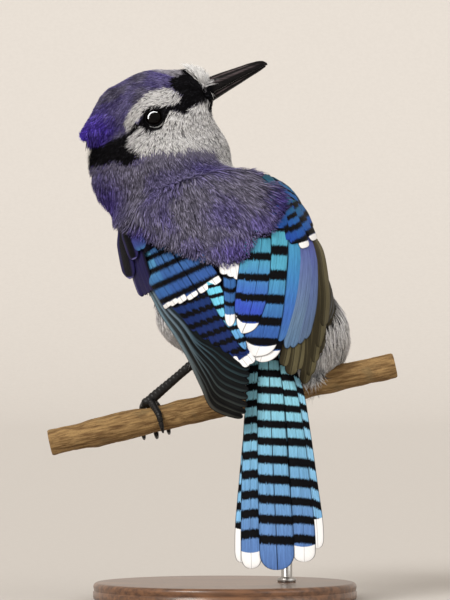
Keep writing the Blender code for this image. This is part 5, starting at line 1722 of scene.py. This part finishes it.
# loose ends of the crest, hanging over the nape
def fringe(target):
    kind, (hx, hy) = plumage(head_roots)[1:3]
    near = (hx > 80) & (hx < 112) & (hy > 131) & (hy < 150) & (kind == CREST)
    q, nr = surface(FTREE, FN, FF, head_roots[near])
    n = len(q)
    x = hx[near]
    d = unit(np.array([0.06, 0.0, -1.0]) + nr * 0.18 + RNG.normal(0, 0.12, (n, 3)))
    ln = RNG.uniform(3.4, 5.6, n) * smooth(116, 96, x)
    keep = ln > 1.2
    col = lerp(INK["crest"], INK["violet"], RNG.random(n)[:, None]) * RNG.choice([0.45, 0.9, 1.35], n)[:, None]
    straight(target, q[keep], nr[keep], d[keep], ln[keep], RNG.uniform(0.5, 0.8, keep.sum()), col[keep],
             np.full(keep.sum(), 0.7))


crescent(coat, 1)
crescent(coat, -1)
fringe(coat)
bristles(coat)
COAT_PIECES = coat.build("coat", [LOCK])


# -------------------------------------------------------------------- the eyes
def grid_faces(rows_, cols, wrap=True):
    out = []
    for i in range(rows_ - 1):
        for j in range(cols if wrap else cols - 1):
            a, b = i * cols + j, i * cols + (j + 1) % cols
            out.append((a, b, b + cols, a + cols))
    return np.array(out)


def eye_material():
    g = Graph("eye_surface", rough=0.3, spec=0.0, coat=1.0, coat_rough=0.03)
    g.b.inputs["Coat IOR"].default_value = 1.20
    r = g.attr("Ring")
    ang = g.attr("Ang")
    n = g.noise(vec=g.combine(g.math('MULTIPLY', g.math('COSINE', ang), 6.0),
                              g.math('MULTIPLY', g.math('SINE', ang), 6.0), g.math('MULTIPLY', r, 1.2)),
                scale=1.0, detail=4.0, rough=0.6)
    iris = g.mix(g.step(n, 0.3, 0.7), (0.0018, 0.0011, 0.0009), (0.0048, 0.0026, 0.0017))
    c = g.mix(g.step(r, 0.44, 0.50), (0.0012, 0.0012, 0.0014), iris)
    c = g.mix(g.step(r, 0.86, 0.96), c, (0.004, 0.003, 0.003))
    g.base(c)
    return g.mat


EYE = eye_material()


def eyeball(side, name):
    at = EYES[side]
    look = unit(HS * side + HF * 0.12 + HU * 0.02)
    up = unit(HU - look * (HU @ look))
    fwd = np.cross(up, look)
    m = Mesh()
    nr, na = 40, 56
    v, ring, ang = [], [], []
    for i in range(nr):
        th = math.pi * i / (nr - 1)
        r = EYE_R * 0.985
        # the cornea stands a little proud of the ball
        bulge = 0.30 * max(0.0, math.cos(th)) ** 6
        for j in range(na):
            ph = 2 * math.pi * j / na
            d = look * math.cos(th) + (up * math.sin(ph) + fwd * math.cos(ph)) * math.sin(th)
            v.append(at + d * (r + bulge))
            ring.append(math.sin(th) * (1 if th < math.pi / 2 else 1) / 0.86 if th < math.pi / 2 else 1.2)
            ang.append(ph)
    uv = np.stack([np.tile(np.linspace(0, 1, na), nr), np.repeat(np.linspace(0, 1, nr), na)], 1)
    f = grid_faces(nr, na)
    m.add(v, f4=f, uv=uv, Ring=np.array(ring), Ang=np.array(ang))
    return m.make(name, [EYE])


eye_r = eyeball(1, "eyeball_right")
eye_l = eyeball(-1, "eyeball_left")


def lid_material():
    g = Graph("lid_skin", rough=0.6, spec=0.08)
    vec = g.mapping(g.object_coords(), scale=(2600, 2600, 2600))
    n = g.noise(vec=vec, scale=1.0, detail=3.0, rough=0.6)
    dark = g.mix(g.step(n, 0.3, 0.7), (0.0015, 0.0015, 0.002), (0.006, 0.006, 0.007))
    g.base(g.mix(g.attr("Pale"), dark, (0.80, 0.80, 0.80)))
    g.bump(n, 0.6, 0.0001)
    return g.mat


LID = lid_material()


def lids(side, name):
    """Thin beaded rims above and below the eye."""
    at = EYES[side]
    look = unit(HS * side)
    up = HU
    fwd = HF
    m = Mesh()
    R = EYE_R * 1.03
    na, nb = 96, 10
    for upper in (True, False):
        v = []
        for i in range(na + 1):
            t = i / na
            # opening outline: an almond nearly as round as the ball
            a = math.pi * t
            ex = math.cos(a) * 4.25
            ey = math.sin(a) * (3.90 if upper else -3.95)
            ey += 0.0 if upper else 0.05
            rim_r = 0.40 + 0.09 * math.sin(a * 26) + 0.06 * math.sin(a * 61 + 2)
            rim_r *= 0.55 + 0.45 * math.sin(a) ** 0.5
            px, py = ex, ey
            rr = math.hypot(px, py)
            depth = math.sqrt(max(R * R - rr * rr, 0.4))
            c = at + look * depth + fwd * px + up * py
            outd = unit(c - at)
            tang = unit(-fwd * math.sin(a) + up * math.cos(a) * (1 if upper else -1))
            b2 = unit(np.cross(tang, outd))
            for j in range(nb):
                ph = 2 * math.pi * j / nb
                v.append(c + (outd * math.sin(ph) * 0.75 + b2 * math.cos(ph) * 1.25) * rim_r)
        f = grid_faces(na + 1, nb)
        uv = np.stack([np.repeat(np.linspace(0, 1, na + 1), nb), np.tile(np.linspace(0, 0.45, nb), na + 1)
                       + (0.5 if upper else 0)], 1)
        ts = np.repeat(np.linspace(0, 1, na + 1), nb)
        m.add(v, f4=f, uv=uv, Pale=np.zeros(len(v)))
        # close the ends
        k = len(v)
        for base in (0, na * nb):
            ring = np.array(v[base:base + nb])
            cc = ring.mean(0)
            m.add(np.vstack([ring, cc]), f3=[((j + 1) % nb, j, nb) if base == 0 else (j, (j + 1) % nb, nb)
                                             for j in range(nb)], uv=np.full((nb + 1, 2), 0.5), Pale=0.0)
    # pale fold below the eye
    v = []
    nf = 60
    for i in range(nf + 1):
        t = i / nf
        a = math.radians(222 + 92 * t)
        px, py = math.cos(a) * 5.25, math.sin(a) * 5.0
        rr = min(math.hypot(px, py), R * 0.93)
        depth = math.sqrt(R * R - rr * rr) + 0.15 - max(0, math.hypot(px, py) - R * 0.93) * 0.55
        c = at + look * depth + fwd * px + up * py
        rim_r = 0.10 + 0.42 * math.sin(math.pi * t) ** 0.7 + 0.03 * math.sin(t * 60)
        outd = unit(c - at)
        tang = unit(-fwd * math.sin(a) + up * math.cos(a))
        b2 = unit(np.cross(tang, outd))
        for j in range(nb):
            ph = 2 * math.pi * j / nb
            v.append(c + (outd * math.sin(ph) * 0.8 + b2 * math.cos(ph) * 1.1) * rim_r)
    v = np.array(v)
    m.add(v, f4=grid_faces(nf + 1, nb), uv=np.full((len(v), 2), 0.25), Pale=1.0)
    for base in (0, nf * nb):
        ring = v[base:base + nb]
        m.add(np.vstack([ring, ring.mean(0)]), f3=[((j + 1) % nb, j, nb) if base == 0 else (j, (j + 1) % nb, nb)
                                                  for j in range(nb)], uv=np.full((nb + 1, 2), 0.5), Pale=1.0)
    # the skin between the rim and the feathers
    v = []
    for i in range(na):
        a = 2 * math.pi * i / na
        for q, (rad, lift) in enumerate(((4.1, 0.05), (4.7, 0.10), (5.4, -0.05), (6.3, -0.8))):
            px, py = math.cos(a) * rad * 1.03, math.sin(a) * rad * 0.93
            rr = math.hypot(px, py)
            depth = math.sqrt(max(R * R - min(rr, R * 0.93) ** 2, 0.4)) + lift - max(0, rr - R * 0.93) * 0.55
            v.append(at + look * depth + fwd * px + up * py)
    v = np.array(v)
    v2 = v - look * 0.35
    n4 = 4
    f = []
    for i in range(na):
        for j in range(n4 - 1):
            a, b = i * n4 + j, ((i + 1) % na) * n4 + j
            f += [(a, b, b + 1, a + 1), (a + na * n4, a + 1 + na * n4, b + 1 + na * n4, b + na * n4)]
        a, b = i * n4, ((i + 1) % na) * n4
        f += [(a, a + na * n4, b + na * n4, b), (a + n4 - 1, b + n4 - 1, b + n4 - 1 + na * n4, a + n4 - 1 + na * n4)]
    uv = np.stack([np.repeat(np.linspace(0, 1, na), n4), np.tile(np.linspace(0, 1, n4), na)], 1)
    m.add(np.vstack([v, v2]), f4=f, uv=np.vstack([uv, uv]), Pale=0.0)
    return m.make(name, [LID])


lid_r = lids(1, "lids_right")
lid_l = lids(-1, "lids_left")


# -------------------------------------------------------------------- the bill
def horn_material(name, lo, hi, rough=0.27, scale=420.0):
    g = Graph(name, rough=rough, spec=0.10, coat=0.0)
    oc = g.object_coords()
    n1 = g.noise(vec=g.mapping(oc, scale=(scale, scale, scale)), scale=1.0, detail=5.0, rough=0.6)
    # grain runs out along the bill
    n2 = g.noise(vec=g.mapping(oc, scale=(120, 1900, 1900), rot=(0, math.radians(22), 0)), scale=1.0, detail=4.0)
    c = g.mix(g.step(g.math('MULTIPLY_ADD', n2, 0.5, g.math('MULTIPLY', n1, 0.5)), 0.35, 0.66), lo, hi)
    # painted highlight lines along the bill, broken up by the grain
    c = g.mix(g.math('MULTIPLY', g.attr("PaintedHighlight"), g.step(n2, 0.30, 0.60, 0.25, 1.0)), c, (0.20, 0.155, 0.165))
    g.base(c)
    g.bump(g.math('ADD', n2, g.math('MULTIPLY', n1, 0.5)), 0.35, 0.00012)
    return g.mat


HORN = horn_material("bill_horn", (0.0020, 0.0018, 0.0022), (0.0070, 0.0062, 0.0066))
B0, B1, BW = 29.6, 59.6, 4.6
STATIONS = np.array(((0.00, 8.3, 0.3, -3.0, 1.00), (0.14, 8.4, 1.0, -2.2, 0.93), (0.32, 8.2, 1.7, -1.1, 0.80),
                     (0.52, 7.8, 2.4, 0.0, 0.66), (0.72, 7.5, 3.0, 1.2, 0.54), (0.87, 7.0, 3.4, 2.0, 0.43),
                     (0.96, 6.1, 3.6, 2.7, 0.28), (1.0, 4.75, 3.95, 3.0, 0.04)))


def bill(upper, name):
    nr, na = 90, 40
    t = 1 - (1 - np.linspace(0, 1, nr)) ** 1.5
    st = [np.interp(t, STATIONS[:, 0], STATIONS[:, k]) for k in range(1, 5)]
    for k in range(4):
        s_ = st[k]
        for _ in range(6):
            s_ = np.concatenate([[s_[0]], 0.25 * s_[:-2] + 0.5 * s_[1:-1] + 0.25 * s_[2:], [s_[-1]]])
        st[k] = s_
    top, edge, low, share = st
    v, streak = [], []
    for i in range(nr):
        f = B0 - 1.6 + (B1 - B0 + 1.6) * t[i] * (1.0 if upper else 0.965)
        w = BW * share[i] * (1.0 if upper else 0.90)
        gap = 0.06
        flat = edge[i] + (gap if upper else -gap)
        peak = top[i] if upper else low[i]
        if upper and t[i] > 0.9:
            peak -= 0.25 * ((t[i] - 0.9) / 0.1) ** 2
            flat -= 0.5 * ((t[i] - 0.9) / 0.1) ** 2
        for j in range(na):
            q = j / na
            if q < 0.72:
                a = math.pi * q / 0.72
                side = w * math.cos(a)
                # culmen ridge on the upper half, keel toward the tip on the lower
                ridge = 1.0 + 0.035 * math.exp(-((a - math.pi / 2) / 0.22) ** 2) * (1 if upper else -0.4)
                up = flat + (peak - flat) * math.sin(a) ** 0.82 * ridge
                # pinch above the cutting edge
                side *= 1.0 - 0.06 * math.exp(-((math.sin(a) - 0.28) / 0.12) ** 2)
                # nostril hollow
                if upper:
                    hollow = math.exp(-((f - 33.6) / 1.5) ** 2 - ((abs(math.cos(a)) - 0.80) / 0.13) ** 2)
                    side *= 1 - 0.07 * hollow
            else:
                b = (q - 0.72) / 0.28
                side = -w * (1 - 2 * b)
                up = flat + (0.35 if upper else -0.35) * math.sin(math.pi * b) * min(1.0, w / 2)
            wear = (vnoise(np.array([[f, side * 2.5, up * 2.5]]), 1.3, 71)[0] - 0.5) * 0.07
            # painted highlights: lighter lines along the culmen and the sides of both mandibles
            line = 0.0
            if q < 0.72:
                for a0, wide_, amt, t0, t1 in (((1.00, 0.080, 0.55, 0.02, 0.86), (0.50, 0.085, 0.50, 0.06, 0.94)) if upper
                                               else ((0.30, 0.07, 0.55, 0.02, 0.7), (0.85, 0.07, 0.06, 0.1, 0.6))):
                    line += (amt * math.exp(-((min(a, math.pi - a) - a0) / wide_) ** 2)
                             * float(smooth(t0, t0 + 0.12, np.array(t[i]))) * (1 - float(smooth(t1 - 0.25, t1, np.array(t[i])))))
            streak.append(line)
            v.append(head_point(np.array([f]), np.array([side + wear * np.sign(side)]), np.array([up + wear]))[0])
    v = np.array(v).reshape(nr, na, 3)
    body = v.reshape(-1, 3)
    f4 = grid_faces(nr, na)
    c0, c1 = v[0].mean(0), v[-1].mean(0)
    k = len(body)
    f3 = [((j + 1) % na, j, k) for j in range(na)] + [((nr - 1) * na + j, (nr - 1) * na + (j + 1) % na, k + 1)
                                                     for j in range(na)]
    uv = np.stack([np.tile(np.linspace(0, 1, na), nr), np.repeat(np.linspace(0.02, 0.98, nr), na)], 1)
    m = Mesh()
    m.add(np.vstack([body, c0, c1]), f4=f4, f3=f3, uv=np.vstack([uv, (0.5, 0.0), (0.5, 1.0)]),
          PaintedHighlight=np.array(streak + [0.0, 0.0]))
    return m.make(name, [HORN])


bill_u = bill(True, "bill_upper_horn")
bill_l = bill(False, "bill_lower_horn")


# ------------------------------------------------------------- branch and legs
BL, BRT = np.array([-82.3, 0.0, 73.3]), np.array([79.9, 0.0, 109.9])
B_DIR = unit(BRT - BL)
B_LEN = np.linalg.norm(BRT - BL)
B_UP = np.cross(np.array([0, 1.0, 0]), B_DIR)
B_UP = B_UP if B_UP[2] > 0 else -B_UP


def branch_r(a):
    return 6.6 - 0.6 * a / B_LEN


def on_branch(a, theta, lift):
    r = branch_r(a) + lift
    return BL + B_DIR * a + B_UP * (r * math.cos(theta)) + np.array([0, 1.0, 0]) * (r * math.sin(theta))


def bark_material():
    g = Graph("branch_bark", rough=0.82, spec=0.2)
    oc = g.object_coords()
    ang = math.atan2(B_DIR[2], B_DIR[0])
    vec = g.mapping(oc, rot=(0, ang, 0))
    long_ = g.noise(vec=g.mapping(vec, scale=(90, 900, 900)), scale=1.0, detail=6.0, rough=0.65)
    fine = g.noise(vec=g.mapping(vec, scale=(1500, 1500, 1500)), scale=1.0, detail=4.0, rough=0.7)
    patch = g.noise(vec=g.mapping(vec, scale=(130, 160, 160)), scale=1.0, detail=3.0, rough=0.5)
    c = g.mix(g.step(long_, 0.33, 0.66), srgb(96, 70, 42), srgb(160, 130, 86))
    c = g.mix(g.math('MULTIPLY', g.step(patch, 0.54, 0.72), 0.45), c, srgb(112, 98, 70))
    c = g.mix(g.math('MULTIPLY', g.step(fine, 0.56, 0.72), 0.6), c, srgb(56, 40, 26))
    g.base(c)
    g.bump(g.math('ADD', long_, g.math('MULTIPLY', fine, 0.6)), 0.7, 0.0005)
    return g.mat


BARK = bark_material()


def branch():
    nr, na = 320, 72
    a = np.linspace(0, B_LEN, nr)
    th = np.linspace(0, 2 * math.pi, na, endpoint=False)
    A, TH = np.meshgrid(a, th, indexing="ij")
    q = np.stack([A, np.cos(TH) * 6, np.sin(TH) * 6], -1)
    h = ((vnoise(q * np.array([0.22, 1, 1]), 1.5, 81) - 0.5) * 0.55 + (vnoise(q, 7.0, 82) - 0.5) * 0.9
         + (vnoise(q, 0.8, 83) - 0.5) * 0.16)
    r = branch_r(A) * (1 - 0.025 * (1 + np.sin(A * 0.11 + 1.0))) + h
    for ka, kt, kr, kh in ((22, 2.4, 4.0, 1.5), (61, 4.4, 3.4, 1.1), (118, 2.9, 4.2, 1.6), (137, 0.6, 3.0, 0.9),
                           (8, 5.2, 3.0, 0.8)):
        d2 = ((A - ka) / kr) ** 2 + (np.angle(np.exp(1j * (TH - kt))) * 6 / kr) ** 2
        r = r + kh * np.exp(-d2) - kh * 0.7 * np.exp(-d2 * 6)
    # worn cut ends
    end = np.minimum(A, B_LEN - A)
    r = r - 0.5 * np.exp(-(end / 0.5) ** 2)
    p = (BL + np.multiply.outer(A, B_DIR) + np.multiply.outer(r * np.cos(TH), B_UP)
         + np.multiply.outer(r * np.sin(TH), np.array([0, 1.0, 0])))
    v = p.reshape(-1, 3)
    f4 = grid_faces(nr, na)[:, ::-1]
    uv = np.stack([np.tile(np.linspace(0, 1, na), nr), np.repeat(np.linspace(0.1, 0.9, nr), na)], 1)
    m = Mesh()
    m.add(v, f4=f4, uv=uv)
    # end faces with growth rings in relief
    for i, sgn in ((0, -1), (nr - 1, 1)):
        ring = p[i]
        c = ring.mean(0)
        vs, uvs = [], []
        rs = np.linspace(1, 0, 14)
        for k, s_ in enumerate(rs):
            vs.append(c + (ring - c) * s_ + B_DIR * sgn * (0.0 if k == 0 else 0.10 * (-1) ** k))
            uvs.append(np.stack([0.05 + 0.04 * s_ * np.cos(th) + (0.1 if sgn > 0 else 0), 0.05 + 0.04 * s_ * np.sin(th)], 1))
        f = grid_faces(14, na)
        m.add(np.vstack(vs), f4=f if sgn > 0 else f[:, ::-1], uv=np.vstack(uvs))
    ob = m.make("branch", [BARK])
    return ob


perch = branch()


def leg_material():
    g = Graph("leg_scales", rough=0.40, spec=0.25)
    oc = g.object_coords()
    n = g.noise(vec=g.mapping(oc, scale=(1300, 1300, 1300)), scale=1.0, detail=4.0, rough=0.6)
    p = g.noise(vec=g.mapping(oc, scale=(260, 260, 260)), scale=1.0, detail=2.0)
    groove = g.attr("Groove")
    c = g.mix(g.step(n, 0.3, 0.7), (0.0035, 0.0035, 0.0040), (0.014, 0.0135, 0.0135))
    c = g.mix(g.step(p, 0.5, 0.75, 0.0, 0.25), c, (0.040, 0.038, 0.034))
    c = g.mix(groove, c, (0.005, 0.005, 0.006))
    g.base(c)
    g.bump(n, 0.35, 0.0001)
    return g.mat


LEG = leg_material()
CLAW = horn_material("claw_horn", (0.008, 0.008, 0.009), (0.040, 0.036, 0.034), 0.3, 900)


def tube(m, path, radii, pitch, depth, nr=90, na=28, upv=None, squash=1.0, tip=False, **extra):
    """Swept limb with overlapping rings of scales."""
    c = curve_through(path, nr)
    length = np.linalg.norm(np.diff(c, axis=0), axis=1).sum()
    t = np.linspace(0, 1, nr)
    r = np.interp(t, np.linspace(0, 1, len(radii)), radii)
    tan = unit(np.gradient(c, axis=0))
    ref = np.array(upv if upv is not None else (0, 0, 1.0), float)
    x = unit(np.cross(tan, ref))
    y = np.cross(tan, x)
    th = np.linspace(0, 2 * math.pi, na, endpoint=False)
    vs, gr = [], []
    for i in range(nr):
        ph = (t[i] * length / pitch) % 1.0 if pitch else 0.5
        step = depth * (ph - 0.5) if pitch else 0.0
        notch = (math.exp(-(min(ph, 1 - ph) / 0.09) ** 2)) if pitch else 0.0
        for j in range(na):
            front = 0.5 + 0.5 * math.cos(th[j])
            d = r[i] + step * (0.35 + 0.65 * front) - notch * depth * 0.8 * front
            cap = 1.0
            if tip:
                cap = math.sqrt(max(0.0, 1 - max(0.0, (t[i] - 0.9) / 0.1) ** 2))
            vs.append(c[i] + (x[i] * math.cos(th[j]) * squash + y[i] * math.sin(th[j])) * max(d * cap, 0.03))
            gr.append(notch * front)
    k = nr * na
    f3 = [((j + 1) % na, j, k) for j in range(na)] + [((nr - 1) * na + j, (nr - 1) * na + (j + 1) % na, k + 1)
                                                     for j in range(na)]
    tube.count = getattr(tube, "count", 0) + 1
    cell = tube.count % 36
    cx, cy = cell % 6, cell // 6
    uv = np.stack([(cx + 0.05 + 0.9 * np.tile(np.linspace(0, 1, na), nr)) / 6,
                   (cy + 0.05 + 0.9 * np.repeat(np.linspace(0, 1, nr), na)) / 6], 1)
    m.add(np.vstack([vs, c[0], c[-1]]), f4=grid_faces(nr, na), f3=f3,
          uv=np.vstack([uv, uv[0], uv[-1]]), Groove=np.array(gr + [0, 0]), **extra)


def leg(foot_x, heel, lean, name):
    a0 = (foot_x + 82.3) / B_DIR[0]
    palm = on_branch(a0, 0.0, 2.2)
    m, mc = Mesh(), Mesh()
    tube(m, [palm + np.array([0, 0, -0.4]), palm + (heel - palm) * 0.12, palm + (heel - palm) * 0.5,
             palm + (heel - palm) * 0.85, heel], [2.3, 2.05, 1.85, 1.95, 2.4], 2.3, 0.26, nr=150,
         upv=(0, 1, 0), squash=1.12)
    toes = ((lean * 6.5, 128, 52, 1.0), (lean * 0.5, 140, 58, 1.0), (-lean * 5.5, 126, 50, 1.0),
            (lean * 4.0, -105, -52, 1.1))
    for spread, reach, claw, thick in toes:
        path, rad = [], []
        for i in range(8):
            t = i / 7
            th = math.radians(reach * t)
            path.append(on_branch(a0 + spread * min(1.0, 0.25 + t), th, 1.7 + 0.25 * math.sin(t * 3.14 * 3)))
            rad.append(1.55 * thick * (1.10 - 0.30 * t) * (1 + 0.07 * math.cos(t * 3.14 * 6)))
        tube(m, path, rad, 1.35, 0.22, nr=110, na=22, upv=B_DIR, tip=True)
        path, rad = [], []
        for i in range(7):
            t = i / 6
            th = math.radians(reach + claw * (t * 1.06 - 0.06))
            lift = 1.35 + 1.5 * math.sin(math.pi * (0.30 + 0.70 * t)) - 0.1 * t
            path.append(on_branch(a0 + spread, th, lift))
            rad.append(1.12 * (1 - t) ** 0.8 + 0.10)
        tube(mc, path, rad, 0, 0, nr=40, na=18, upv=B_DIR, squash=0.78)
    # ball of the foot with pads under it
    v, f = [], []
    nu_, nv_ = 24, 32
    for i in range(nu_):
        a = math.pi * i / (nu_ - 1)
        for j in range(nv_):
            b = 2 * math.pi * j / nv_
            d = np.array([math.sin(a) * math.cos(b) * 3.0, math.sin(a) * math.sin(b) * 2.8, math.cos(a) * 2.2])
            bump = 1 + 0.06 * math.sin(9 * b + 3 * a) * math.sin(7 * a)
            v.append(palm + d * bump)
    uv = np.stack([np.tile(np.linspace(0.84, 0.99, nv_), nu_), np.repeat(np.linspace(0.84, 0.99, nu_), nv_)], 1)
    m.add(v, f4=grid_faces(nu_, nv_)[:, ::-1], uv=uv, Groove=0.0)
    return m.make(name, [LEG]), mc.make(name + "_claws", [CLAW])


leg_l, claws_l = leg(-34.4, np.array([-7.6, -10.5, 117.3]), 1.0, "leg_left_scaled")
leg_r, claws_r = leg(15.0, np.array([20.0, -5.0, 116.0]), -1.0, "leg_right_scaled")


# ------------------------------------------------------------------- the stand
def wood_material():
    g = Graph("stand_walnut", rough=0.38, spec=0.4, coat=0.35, coat_rough=0.2)
    oc = g.object_coords()
    ring = g.noise(vec=g.mapping(oc, scale=(24, 420, 420)), scale=1.0, detail=6.0, rough=0.6)
    pore = g.noise(vec=g.mapping(oc, scale=(160, 3000, 3000)), scale=1.0, detail=3.0, rough=0.7)
    c = g.mix(g.step(ring, 0.3, 0.7), srgb(74, 48, 32), srgb(122, 84, 56))
    c = g.mix(g.math('MULTIPLY', g.step(pore, 0.58, 0.72), 0.5), c, srgb(44, 28, 20))
    g.base(c)
    g.bump(g.math('ADD', pore, g.math('MULTIPLY', ring, 0.4)), 0.15, 0.0001)
    return g.mat


def steel_material():
    g = Graph("stand_steel", rough=0.32, metal=1.0)
    oc = g.object_coords()
    n = g.noise(vec=g.mapping(oc, scale=(3000, 3000, 120)), scale=1.0, detail=4.0, rough=0.6)
    g.base(g.mix(g.step(n, 0.3, 0.7), (0.34, 0.33, 0.32), (0.50, 0.49, 0.47)))
    g.put(g.b.inputs["Roughness"], g.step(n, 0.2, 0.8, 0.26, 0.42))
    g.bump(n, 0.1, 0.00005)
    return g.mat


WOOD, STEEL = wood_material(), steel_material()


def turned(profile, at, name, mat, na=160):
    """Solid of revolution about an upright axis."""
    prof = np.array(profile, float)
    nr = len(prof)
    th = np.linspace(0, 2 * math.pi, na, endpoint=False)
    v = np.stack([np.outer(prof[:, 0], np.cos(th)) + at[0], np.outer(prof[:, 0], np.sin(th)) + at[1],
                  np.repeat(prof[:, 1][:, None], na, 1)], -1).reshape(-1, 3)
    k = len(v)
    f4 = grid_faces(nr, na)
    f3 = [((j + 1) % na, j, k) for j in range(na)] + [((nr - 1) * na + j, (nr - 1) * na + (j + 1) % na, k + 1)
                                                     for j in range(na)]
    uv = np.stack([np.tile(np.linspace(0, 1, na), nr), np.repeat(np.linspace(0.02, 0.98, nr), na)], 1)
    m = Mesh()
    m.add(np.vstack([v, (at[0], at[1], prof[0, 1]), (at[0], at[1], prof[-1, 1])]), f4=f4, f3=f3,
          uv=np.vstack([uv, (0.5, 0), (0.5, 1)]))
    return m.make(name, [mat])


def arc(cx, cz, r, a0, a1, n=8):
    return [(cx + r * math.cos(math.radians(a)), cz + r * math.sin(math.radians(a))) for a in np.linspace(a0, a1, n)]


base = turned([(61.2, 0.0), (61.8, 0.4), (62.0, 1.0), (62.0, 3.6), (61.6, 3.9), (61.5, 4.1), (61.6, 4.3)]
              + arc(60.0, 6.0, 1.9, -20, 90, 9) + [(58.0, 7.95), (54.0, 7.98), (30.0, 8.0), (4.4, 8.0)],
              (0, 0), "stand_plinth", WOOD)
ROD_A = (29.0 + 82.3) / B_DIR[0]
ROD_TOP = (BL + B_DIR * ROD_A)[2] - branch_r(ROD_A)
rod = turned([(2.6, 8.1)] + [(4.2, 8.1), (4.35, 8.3), (4.35, 9.6), (4.1, 9.9), (3.2, 10.1), (2.6, 10.5), (2.6, 20),
             (2.6, 50), (2.6, ROD_TOP - 7), (2.6, ROD_TOP - 4.2), (3.0, ROD_TOP - 4.0), (3.3, ROD_TOP - 3.6),
             (3.3, ROD_TOP - 1.2), (3.1, ROD_TOP - 0.3)], (29.0, 0), "stand_post", STEEL, 72)


# ------------------------------------------------- which piece stands for what
for ob in [skin] + COAT_PIECES:
    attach(ob, "root")
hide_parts("head", "crest", "neck", "trunk")
for ob, node_name, slot_name in ((wing_l, "wing_left", "feather_wing"), (wing_r, "wing_right", "feather_wing"),
                                 (tail_f, "tail", "feather_tail"), (eye_r, "eye_right", "eye_dark"),
                                 (eye_l, "eye_left", "eye_dark"), (bill_u, "bill_upper", "bill_black"),
                                 (bill_l, "bill_lower", "bill_black"), (perch, "perch", "branch_wood"),
                                 (leg_l, "leg_left", "leg_black"), (leg_r, "leg_right", "leg_black"),
                                 (base, "stand_base", "stand_wood"), (rod, "stand_rod", "stand_metal")):
    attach(ob, "root")
    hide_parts(node_name)
for ob, slot_name in ((lid_r, "eye_dark"), (lid_l, "eye_dark"),
                      (claws_l, "leg_black"), (claws_r, "leg_black")):
    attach(ob, "root")


# ------------------------------------------------------------ floor, light, lens
def paper_material():
    g = Graph("studio_paper", rough=0.9, spec=0.05)
    n = g.noise(vec=g.mapping(g.object_coords(), scale=(220, 220, 220)), scale=1.0, detail=3.0)
    g.base(g.mix(g.step(n, 0.3, 0.7), (0.545, 0.522, 0.496), (0.560, 0.537, 0.510)))
    return g.mat


PAPER = paper_material()
# floor that sweeps up far behind into a plain backdrop
prof = [(-9.0, 0.0), (-3.0, 0.0), (0.0, 0.0), (2.0, 0.0), (3.4, 0.0)]
prof += [(3.4 + 1.6 * math.sin(math.radians(a)), 1.6 - 1.6 * math.cos(math.radians(a))) for a in range(4, 91, 4)]
prof += [(5.0, 3.0), (5.0, 7.0)]
fv = [(x, y, z) for y, z in prof for x in (-9.0, 9.0)]
ff = [(2 * k, 2 * k + 1, 2 * k + 3, 2 * k + 2) for k in range(len(prof) - 1)]
fm = bpy.data.meshes.new("floor")
fm.from_pydata(fv, [], ff)
fm.polygons.foreach_set("use_smooth", np.ones(len(ff), bool))
fm.materials.append(PAPER)
floor = bpy.data.objects.new("floor", fm)
COL.objects.link(floor)

world = bpy.data.worlds.new("studio")
world.use_nodes = True
bg = world.node_tree.nodes["Background"]
bg.inputs[0].default_value = (*srgb(222, 213, 203), 1.0)
bg.inputs[1].default_value = 1.0
bpy.context.scene.world = world


def softbox(name, at, to, size, power, colour=(1, 1, 1)):
    d = bpy.data.lights.new(name, 'AREA')
    d.shape = 'RECTANGLE'
    d.size, d.size_y = size
    d.energy = power
    d.color = colour
    ob = bpy.data.objects.new(name, d)
    COL.objects.link(ob)
    ob.location = at
    v = Vector(to) - Vector(at)
    ob.rotation_euler = v.to_track_quat('-Z', 'Y').to_euler()
    return ob


def sun(name, direction, strength, spread, colour=(1, 1, 1)):
    d = bpy.data.lights.new(name, 'SUN')
    d.energy = strength
    d.angle = math.radians(spread)
    d.color = colour
    ob = bpy.data.objects.new(name, d)
    COL.objects.link(ob)
    ob.rotation_euler = (-Vector(direction)).to_track_quat('-Z', 'Y').to_euler()
    return ob


SUNS = [sun("key", (-0.55, -0.80, 0.75), 2.2, 24, (1.0, 0.985, 0.96)),
        sun("fill", (0.90, -0.60, 0.30), 0.75, 50, (0.95, 0.98, 1.0))]
# strip lights bent round the head, seen only as the catchlight in the eye and on gloss
eye_at = Vector(EYES[1] * MM)
glossy = bpy.data.collections.new("glossy")
matt = bpy.data.collections.new("not_glossy")
COL.children.link(glossy)
COL.children.link(matt)
for ob in (eye_r, eye_l):
    glossy.objects.link(ob)
    matt.objects.link(ob)
for c in matt.collection_objects:
    c.light_linking.link_state = 'EXCLUDE'
for lamp in SUNS:
    lamp.light_linking.receiver_collection = matt
for k in range(9):
    ang = math.radians(66 + 15.5 * k)
    off = Vector((math.cos(ang), -0.12, math.sin(ang)))
    wide = 0.18 + 0.21 * math.sin(math.pi * (k + 0.5) / 9)
    lamp = softbox(f"catch_{k}", eye_at + off, eye_at, (wide, wide), 34.0 * (wide / 0.30) ** 2)
    lamp.data.shape = 'DISK'
    lamp.visible_diffuse = False
    lamp.visible_camera = False
    lamp.light_linking.receiver_collection = glossy

cam_data = bpy.data.cameras.new("camera")
cam_data.sensor_width = 36.0
cam_data.lens = 36.0 * CAM_D / (600 * PX)
cam_data.clip_start = 0.05
cam_data.clip_end = 50
cam = bpy.data.objects.new("camera", cam_data)
cam.location = (0, -CAM_D * MM, CAM_Z * MM)
cam.rotation_euler = (math.pi / 2, 0, 0)
COL.objects.link(cam)
bpy.context.scene.camera = cam
bpy.context.scene.view_settings.view_transform = 'Standard'
bpy.context.scene.view_settings.look = 'None'
